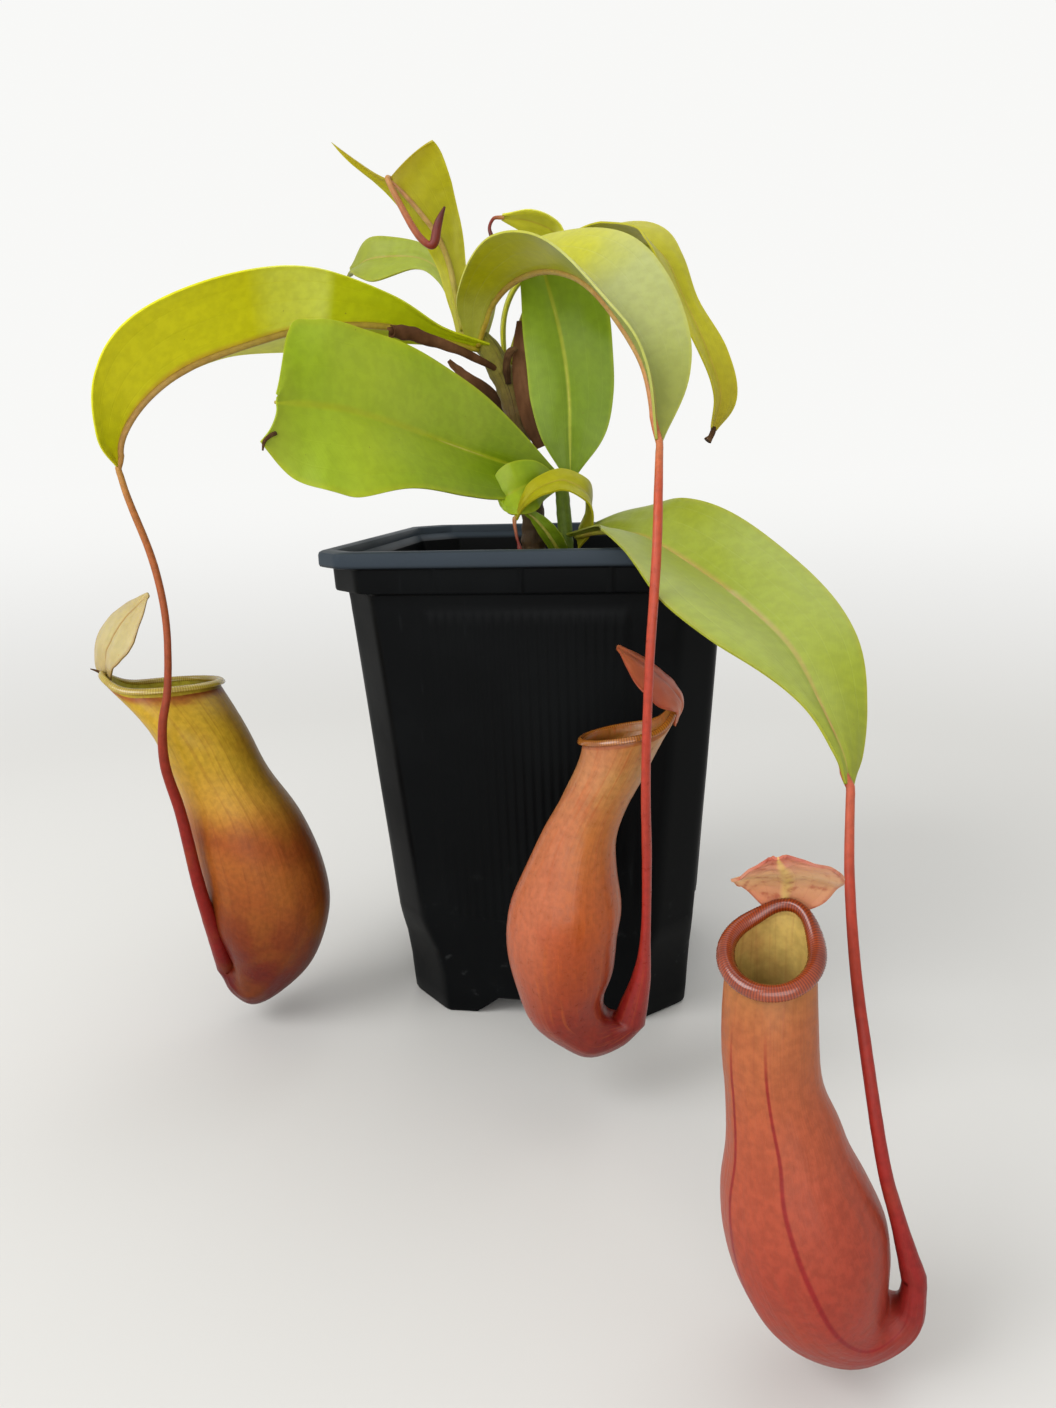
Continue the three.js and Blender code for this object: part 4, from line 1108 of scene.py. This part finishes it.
def cupRings(pitcher):
    sides = cupShape["sides"]
    control = bodyRings(pitcher)
    parts = [list(part) for part in zip(*control)]
    turns = [math.tau * k / sides for k in range(sides)]
    rings = []

    def ringAt(t, mark, inside):
        at, side, front = (smooth(part, t) for part in parts)
        less = cupShape["wall"] / side.length if inside else 0
        nearMouth = max(0, t - 0.86) / 0.14
        places = []
        for turn in turns:
            swell = 1 - less
            if not inside:
                for where, high in pitcher["wings"]:
                    off = (turn - where + math.pi) % math.tau - math.pi
                    swell += high / side.length * bump(off, cupShape["wingWidth"]) * math.sin(math.pi * t) ** 0.4
                swell += 0.008 * noise.noise(Vector((math.cos(turn) * 2, math.sin(turn) * 2, t * 8)))
            place = at + (side * math.cos(turn) + front * math.sin(turn)) * swell
            if nearMouth > 0:
                edge, outward, faces = mouthEdge(pitcher, turn, 0.9 + (cupShape["wall"] if inside else 0), -1.2)
                ease = nearMouth**2 * (3 - 2 * nearMouth)
                place = place.lerp(edge, ease)
            places.append(spot(place))
        rings.append({"places": places, "mark": mark})

    for k in range(cupShape["outsideSteps"] + 1):
        t = k / cupShape["outsideSteps"]
        ringAt(t, 2 + t, False)
    for less, up, mark in ((0.9, 0.4, 3.02), (1.4, 0.7, 3.04), (1.9, 0.4, 3.06)):
        rings.append({"places": [spot(mouthEdge(pitcher, turn, less, up)[0]) for turn in turns], "mark": mark})
    for k in range(cupShape["insideSteps"] + 1):
        t = 1 - (1 - cupShape["hollowFrom"]) * k / cupShape["insideSteps"]
        ringAt(t, 3.1 + 0.9 * k / cupShape["insideSteps"], True)
    return rings


def makePitcher(name, pitcher):
    # midrib, tendril and cup grow as one piece, from the base of the leaf to the inside of the cup
    sides = cupShape["sides"]
    leaf = leaves[pitcher["leaf"]]
    control = bodyRings(pitcher)
    ribPoints = ribPath(leaf, 16, 0.75, 0.02, 0.985)
    cupStart, cupSide, cupFront = control[0]
    tendrilPoints = [Vector(leaf["rib"][-1]) - Vector((0, 0, 0.6))] + [Vector(p) for p in pitcher["path"]] + [cupStart]
    path = [smooth(ribPoints, k / 40) for k in range(40)]
    path += [smooth(tendrilPoints, k / 60) for k in range(61)]
    radii = [0.7, 0.85, 0.85, 0.8, 0.8] + [smooth(pitcher["radius"], k / 6) for k in range(1, 6)] + [cupSide.length]
    ribShare = 40 / 100
    rings = tubeRings(path, radii, 150, 0, 2, cupSide.normalized())
    for k, ring in enumerate(rings):
        t = k / 150
        ring["mark"] = t / ribShare if t < ribShare else 1 + (t - ribShare) / (1 - ribShare)
        ring["places"] = roundPlaces(ring, sides, knotty(0.03, 0.3))
    piece = growRings(name + "Pitcher", rings[:-1] + cupRings(pitcher))
    low = name.lower()
    look = dict(cupLooks[name], length=4.0, warp=0.02)
    finishPiece(piece, (tubeMaterial(low + "_pitcher", look),), (low + "_tendril", low + "_pitcher"))


def lipMaterial(name, ribCount, light, dark):
    material, tree, shader = newMaterial(name, 0.25, Coat_Weight=0.45, Coat_Roughness=0.12, Subsurface_Weight=0.08, Subsurface_Scale=0.001)
    uv = tree.nodes.new("ShaderNodeSeparateXYZ")
    tree.links.new(tree.nodes.new("ShaderNodeTexCoord").outputs["UV"], uv.inputs[0])
    patches = cloud(tree, 160, 3)
    ribs = calc(tree, "PINGPONG", calc(tree, "MULTIPLY", uv.outputs[0], float(ribCount)), 0.5)
    colour = blendColour(tree, fade(tree, ribs, 0.1, 0.42, 0.75, 0), paint(light), paint(dark))
    colour = blendColour(tree, fade(tree, patches, 0.4, 0.7, 0, 0.5), colour, paint(dark))
    tree.links.new(colour, shader.inputs["Base Color"])
    relief(tree, shader, patches, 0.2, 0.0002)
    return material


def makeLip(name, pitcher):
    lip = pitcher["lip"]
    rounds, small = lip["ribs"] * 5, 14
    bpy.ops.object.select_all(action="DESELECT")
    bpy.ops.mesh.primitive_torus_add(
        major_segments=rounds, minor_segments=small, major_radius=1, minor_radius=0.25, generate_uvs=True
    )
    piece = startPiece(name + "Lip")
    for vertex in piece.data.vertices:
        x, y, z = vertex.co
        turn = math.atan2(y, x)
        out, up = math.hypot(x, y) - 1, z
        edge, outward, faces = mouthEdge(pitcher, turn)
        rib = 1 + 0.04 * math.cos(turn * lip["ribs"])
        back = lidSide(pitcher, turn, 0.5)
        wide = lip["wide"] * rib * (1 - 0.25 * back)
        thick = lip["thick"] * rib
        sag = 0.5 * (out / 0.25) ** 2  # the outer and inner edges turn down
        vertex.co = spot(edge + outward * (out / 0.25 * wide / 2 - 0.9) + faces * (up / 0.25 * thick / 2 - sag + 0.5))
    low = name.lower()
    finishPiece(piece, (lipMaterial(low + "_lip", lip["ribs"], *lipLooks[name]),))


def makeLid(name, pitcher, seed):
    lid = dict(pitcher["lid"], wave=0.25)
    piece = layBlade(name + "Lid", lid, 60, 24, 0.5, seed)
    low = name.lower()
    look = dict(lidLooks[name], feather=30.0, specks=0.8, speckColour="#963a2a", glow=0.15)
    under = look.pop("under")
    underLook = dict(look, along=[(0.0, under), (1.0, under)], patchColour=under)
    materials = (leafMaterial(low + "_lid", look), leafMaterial(low + "_lid_under", underLook))
    finishPiece(piece, materials, (low + "_lid",), angle=60)


spur = {"path": [(-115.0, -52.9, 101), (-116.6, -52.4, 102.4), (-118.7, -52, 103.5), (-120.8, -51.8, 104.1)], "radius": [0.6, 0.45, 0.35, 0.15]}

for seed, (name, pitcher) in enumerate(pitchers.items()):
    makePitcher(name, pitcher)
    makeLip(name, pitcher)
    makeLid(name, pitcher, seed + 50)
    print("pitcher grown:", name)
finishPiece(growTube("LeftSpur", spur["path"], spur["radius"], 10, 24), (tubeMaterials["dried"],))


# Pot

pot = {
    "flat": 150,  # points along each straight side and each cut corner
    "corner": 14,
    "flute": 2.5,
    "fluteDeep": 0.1,
    "panelHalf": 27,
    "panelRaise": 0.45,
    "panel": (31, 119),
    "collarRibs": 22.5,
    "footClear": 5,
    "notch": (12.4, 19.3),
    "drain": (4, 21),
}
# height, half width, leg of the cut corner, and what the row carries
potRows = [
    (5, 37.6, 12, ""), (0, 37.6, 12, "foot"), (0, 38.2, 12, "foot"), (0.3, 40.2, 12.6, "foot"), (1.2, 40.6, 12.8, "foot"),
    (5.5, 41.0, 13.2, "body"), (12, 41.4, 13.4, "body"), (20, 42.0, 12.6, "body"), (25, 42.5, 11.2, "body"),
    (27.5, 42.7, 10.6, "body"), (29, 42.85, 10.4, "body"), (30.2, 42.95, 10.3, "body"), (31.2, 43.0, 10.3, "body"),
    (32.2, 43.1, 10.3, "body"), (33.4, 43.2, 10.3, "body"), (36, 43.4, 10.2, "body"), (50, 44.4, 10.1, "body"),
    (70, 45.9, 10.0, "body"), (90, 47.3, 9.9, "body"), (108, 48.6, 9.8, "body"), (115, 49.1, 9.7, "body"),
    (117.4, 49.3, 9.7, "body"), (118.6, 49.4, 9.7, "body"), (119.6, 49.45, 9.7, "body"), (121, 49.55, 9.7, "body"),
    (123.2, 49.8, 9.7, "body"), (123.7, 50.3, 9.7, "body"), (124.1, 52.3, 9.7, "collar"), (124.6, 52.5, 9.7, "collar"),
    (130.1, 52.7, 9.6, "collar"), (130.5, 53.0, 9.2, ""), (130.6, 54.2, 7.9, ""), (130.9, 54.8, 7.6, ""),
    (131.5, 55, 7.5, ""), (133.9, 55, 7.5, ""), (134.6, 54.8, 7.6, ""), (134.95, 54.2, 7.8, ""), (135, 53.4, 8, ""),
    (135, 52.2, 8.2, ""), (134.7, 51.4, 8.3, ""), (134, 51.1, 8.4, ""), (132.5, 51, 8.5, ""), (130.5, 49.3, 9.6, ""),
    (124, 48.5, 9.7, ""), (100, 46.8, 9.8, ""), (60, 43.8, 10, ""), (30, 41.6, 10.3, ""), (12, 39.8, 12.4, ""),
    (8, 39.3, 12.6, ""), (7, 38, 12.6, ""),
]


def squareOutline(half, leg, radius=1.4):
    # places around a square with cut corners; a short running mean rounds the edges
    flat, corner = pot["flat"], pot["corner"]
    raw = []
    for quarter in range(4):
        turn = Matrix.Rotation(math.pi / 2 * quarter, 2)
        start, end = Vector((half, leg - half)), Vector((half, half - leg))
        raw += [(turn @ start.lerp(end, k / flat), quarter, start.lerp(end, k / flat).y) for k in range(flat)]
        start, end = end, Vector((half - leg, half))
        raw += [(turn @ start.lerp(end, k / corner), quarter, None) for k in range(corner)]
    count = len(raw)
    places = []
    for k, (place, quarter, across) in enumerate(raw):
        nearEdge = across is None or abs(abs(across) - (half - leg)) < 2.5
        if nearEdge and radius:
            window = [raw[(k + d) % count][0] for d in (-2, -1, 0, 1, 2)]
            place = sum(window, Vector((0, 0))) / 5
        places.append((place, quarter, across))
    return places


def potRing(height, half, leg, kind):
    places = []
    low, high = pot["panel"]
    narrow, wide = pot["notch"]
    for place, quarter, across in squareOutline(half, leg):
        outward = Vector((math.cos(math.pi / 2 * quarter), math.sin(math.pi / 2 * quarter)))
        up = height
        if across is not None and kind == "body" and abs(across) < pot["panelHalf"] + 1:
            # the fluted panel stands a little proud; its lower corners are round
            corner = max(abs(across) - pot["panelHalf"] + 8, 0)
            floorLine = low + 8 - math.sqrt(max(64 - corner * corner, 0))
            inPanel = min(max((height - floorLine) / 1.2, 0), 1) * min(max((high - height) / 1.2, 0), 1)
            inPanel *= min(max((pot["panelHalf"] - abs(across)) / 0.8, 0), 1)
            flutes = pot["fluteDeep"] * math.cos(math.tau * across / pot["flute"])
            place = place + outward * inPanel * (pot["panelRaise"] + flutes)
        if across is not None and kind == "collar":
            nearRib = abs((across + pot["collarRibs"] / 2) % pot["collarRibs"] - pot["collarRibs"] / 2)
            place = place + outward * 0.35 * bump(nearRib, 0.5)
        if across is not None and height < 4.9:
            lift = min(max((wide - abs(across)) / (wide - narrow), 0), 1)
            up = max(height, (4.95 + height * 0.01) * lift)
        places.append(spot((place.x, place.y, up)))
    return {"places": places, "mark": height / 135}


def plasticMaterial():
    material, tree, shader = newMaterial("pot_plastic", 0.4, Specular_IOR_Level=0.07, IOR=1.45)
    wear = cloud(tree, 26, 6)
    dust = cloud(tree, 210, 5)
    scratches = cloud(tree, 60, 3, stretch=(7.0, 7.0, 0.5))
    height = tree.nodes.new("ShaderNodeSeparateXYZ")
    tree.links.new(tree.nodes.new("ShaderNodeTexCoord").outputs["Object"], height.inputs[0])
    colour = blendColour(tree, fade(tree, wear, 0.4, 0.7), paint("#050607"), paint("#090b0c"))
    grime = calc(tree, "MULTIPLY", fade(tree, dust, 0.62, 0.75, 0, 0.3), fade(tree, height.outputs[2], 0.06, 0.0))
    colour = blendColour(tree, grime, colour, paint("#4a4c4c"))
    # painted highlight: the top of the lip is painted a lighter blue-grey for the light from above
    lipHighlight = fade(tree, height.outputs[2], 0.1302, 0.1318, 0, 0.85)
    colour = blendColour(tree, lipHighlight, colour, paint("#363e46"))
    colour = blendColour(tree, fade(tree, scratches, 0.7, 0.78, 0, 0.12), colour, paint("#2a2c2e"))
    tree.links.new(colour, shader.inputs["Base Color"])
    tree.links.new(fade(tree, wear, 0.3, 0.7, 0.33, 0.5), shader.inputs["Roughness"])
    relief(tree, shader, calc(tree, "MULTIPLY_ADD", scratches, 0.5, dust), 0.12, 0.0002)
    return material


def makePot():
    piece = growRings("SquarePot", [potRing(*row) for row in potRows])
    radius, off = pot["drain"]
    for x, y in ((0, 0), (off, off), (off, -off), (-off, off), (-off, -off)):
        bpy.ops.object.select_all(action="DESELECT")
        bpy.ops.mesh.primitive_cylinder_add(vertices=32, radius=radius * mm, depth=0.01, location=spot((x, y, 6)))
        bpy.ops.object.transform_apply(location=True)
        cutter = bpy.context.object
        applyModifier(piece, "BOOLEAN", object=cutter, operation="DIFFERENCE", solver="EXACT")
        bpy.data.objects.remove(cutter)
    finishPiece(piece, (plasticMaterial(),), ("pot",), angle=28)
    print("pot made, faces:", len(piece.data.polygons))


makePot()


# Potting mix

mix = {"edge": 120.6, "crown": 125.3, "rough": 1.1, "chips": 330, "grains": 26, "fibres": 70}


def mixHeight(x, y):
    # the surface rises a little towards the stems
    away = max(abs(x), abs(y)) / 47.5
    lumps = noise.noise(Vector((x * 0.11, y * 0.11, 2))) + 0.5 * noise.noise(Vector((x * 0.35, y * 0.35, 9)))
    return mix["edge"] + (mix["crown"] - mix["edge"]) * (1 - away * away) + mix["rough"] * lumps


def crumbMaterial(name, stops, strength):
    material, tree, shader = newMaterial(name, 0.85, Specular_IOR_Level=0.2)
    colour = ramp(tree, cloud(tree, 140, 6), stops)
    tree.links.new(colour, shader.inputs["Base Color"])
    relief(tree, shader, cloud(tree, 700, 5), strength, 0.0006)
    return material


barkMaterial = crumbMaterial(
    "bark_and_fibre", [(0.25, "#070504"), (0.45, "#160d08"), (0.6, "#2a170e"), (0.75, "#43281a")], 0.9
)
grainMaterial = crumbMaterial("white_grain", [(0.3, "#a8a49a"), (0.6, "#d8d5cc"), (0.8, "#efece4")], 0.5)


def makeMix():
    rings = []
    count = 4 * 40
    rows = [(7.4, 37.4), (9, 38.6), (60, 43.2), (110, 46.8), (118, 47.4)]

    def outline(k, half):
        turn = math.tau * (k + 0.5) / count
        x, y = math.cos(turn), math.sin(turn)
        reach = half / max(abs(x), abs(y), (abs(x) + abs(y)) / 1.62)
        return x * reach, y * reach

    for height, half in rows:
        places = [spot((*outline(k, half), height)) for k in range(count)]
        rings.append({"places": places, "mark": 0})
    for step in range(44):
        half = 47.6 * (1 - step / 44)
        places = [(x, y) for x, y in (outline(k, half) for k in range(count))]
        rings.append({"places": [spot((x, y, mixHeight(x, y))) for x, y in places], "mark": 0})
    piece = growRings("PottingMix", rings)
    finishPiece(piece, (barkMaterial,), ("potting_mix",), angle=60)


def makeTemplates():
    # a few irregular chips, fibres and grains; every copy below gets its own mesh
    templates = []
    for seed in range(5):
        bpy.ops.mesh.primitive_cube_add(size=1)
        chip = startPiece("ChipTemplate")
        bpy.ops.object.mode_set(mode="EDIT")
        bpy.ops.mesh.subdivide(number_cuts=1)
        bpy.ops.object.mode_set(mode="OBJECT")
        for vertex in chip.data.vertices:
            rough = noise.noise_vector(vertex.co * 1.7 + Vector((seed * 5, 0, 0)))
            vertex.co = Vector((vertex.co.x * 2.2, vertex.co.y * 1.2, vertex.co.z * 0.5)) + rough * 0.45
        templates.append(("chip", chip))
    for seed in range(3):
        path = [(-2, 0, 0), (-0.6, 0.5 * seed - 0.4, 0.25), (0.9, 0.3, 0.3 - 0.2 * seed), (2.2, -0.3, 0)]
        fibre = growTube("FibreTemplate", path, [0.1, 0.16, 0.14, 0.06], 5, 7)
        fibre.data.transform(Matrix.Translation(-potMiddle))
        fibre.data.transform(Matrix.Scale(1000, 4))
        templates.append(("fibre", fibre))
    for seed in range(2):
        bpy.ops.mesh.primitive_ico_sphere_add(subdivisions=2, radius=0.8)
        grain = startPiece("GrainTemplate")
        for vertex in grain.data.vertices:
            vertex.co *= 1 + 0.35 * noise.noise(vertex.co * 1.5 + Vector((seed * 7, 3, 0)))
        templates.append(("grain", grain))
    return templates


def scatter():
    pick = random.Random(41)
    templates = makeTemplates()
    wanted = {"chip": mix["chips"], "fibre": mix["fibres"], "grain": mix["grains"]}
    for kind, count in wanted.items():
        shapes = [shape for name, shape in templates if name == kind]
        copies = []
        for k in range(count):
            source = pick.choice(shapes)
            copy = source.copy()
            copy.data = source.data.copy()
            bpy.context.collection.objects.link(copy)
            x, y = pick.uniform(-45, 45), pick.uniform(-45, 45)
            if abs(x) + abs(y) > 80:
                x, y = x * 0.7, y * 0.7
            size = pick.uniform(0.6, 1.7) if kind != "grain" else pick.uniform(0.7, 1.5)
            turn = Matrix.Rotation(pick.uniform(0, math.tau), 4, "Z") @ Matrix.Rotation(pick.uniform(-0.5, 0.5), 4, "X")
            place = Matrix.Translation(spot((x, y, mixHeight(x, y) + 0.2 * size)))
            copy.data.transform(place @ turn @ Matrix.Scale(size * mm, 4))
            copies.append(copy)
        bpy.ops.object.select_all(action="DESELECT")
        for copy in copies:
            copy.select_set(True)
        bpy.context.view_layer.objects.active = copies[0]
        bpy.ops.object.join()
        piece = startPiece("Mix" + kind.title() + "s")
        material = grainMaterial if kind == "grain" else barkMaterial
        finishPiece(piece, (material,), angle=40)
    for name, shape in templates:
        bpy.data.objects.remove(shape)
    print("potting mix scattered")


makeMix()
scatter()


# Stage and light

stage = {
    "size": 12.0,
    "floor": "#d3d2cf",
    "seen": 0.94,  # brightness of the background in the picture
    "fill": 0.68,  # and of the light that it gives
    "near": 0.38,  # within this distance the floor shows its own colour
}
lights = {
    "WindowLeft": {"at": (-700, -650, 750), "aim": (0, -60, 110), "size": 0.8, "power": 8.0},
    "FrontSoft": {"at": (100, -1300, 300), "aim": (0, -60, 120), "size": 1.2, "power": 9.0},
    "TopBack": {"at": (150, 350, 950), "aim": (0, -20, 150), "size": 0.9, "power": 2.5},
}


def makeStage():
    bpy.ops.object.select_all(action="DESELECT")
    bpy.ops.mesh.primitive_plane_add(size=stage["size"])
    floor = startPiece("Floor")
    material, tree, shader = newMaterial("pale_floor", 0.6, Specular_IOR_Level=0.3)
    shader.inputs["Base Color"].default_value = paint(stage["floor"])
    distance = tree.nodes.new("ShaderNodeVectorMath")
    distance.operation = "LENGTH"
    tree.links.new(tree.nodes.new("ShaderNodeTexCoord").outputs["Object"], distance.inputs[0])
    glow = tree.nodes.new("ShaderNodeEmission")
    glow.inputs["Color"].default_value = (1, 1, 0.985, 1)
    glow.inputs["Strength"].default_value = stage["seen"]
    blend = tree.nodes.new("ShaderNodeMixShader")
    near = calc(tree, "DIVIDE", stage["near"], distance.outputs["Value"])
    tree.links.new(fade(tree, near, 0.04, 1.0, 1.0, 0.0), blend.inputs[0])
    tree.links.new(shader.outputs[0], blend.inputs[1])
    tree.links.new(glow.outputs[0], blend.inputs[2])
    tree.links.new(blend.outputs[0], tree.nodes["Material Output"].inputs["Surface"])
    floor.data.materials.append(material)
    world = bpy.data.worlds.new("PaleStudio")
    world.use_nodes = True
    background = world.node_tree.nodes["Background"]
    background.inputs["Color"].default_value = (1, 1, 0.985, 1)
    sight = world.node_tree.nodes.new("ShaderNodeLightPath")
    strength = fade(world.node_tree, sight.outputs["Is Camera Ray"], 0, 1, stage["fill"], stage["seen"])
    world.node_tree.links.new(strength, background.inputs["Strength"])
    bpy.context.scene.world = world
    bpy.context.scene.view_settings.view_transform = "Standard"


def makeLights():
    for name, light in lights.items():
        bpy.ops.object.light_add(type="AREA")
        made = bpy.context.object
        made.name = name
        made.data.shape = "DISK"
        made.data.size = light["size"]
        made.data.energy = light["power"]
        made.location = spot(light["at"])
        aim = spot(light["aim"]) - made.location
        made.rotation_euler = aim.to_track_quat("-Z", "Y").to_euler()


makeStage()
makeLights()

print("scene ready")
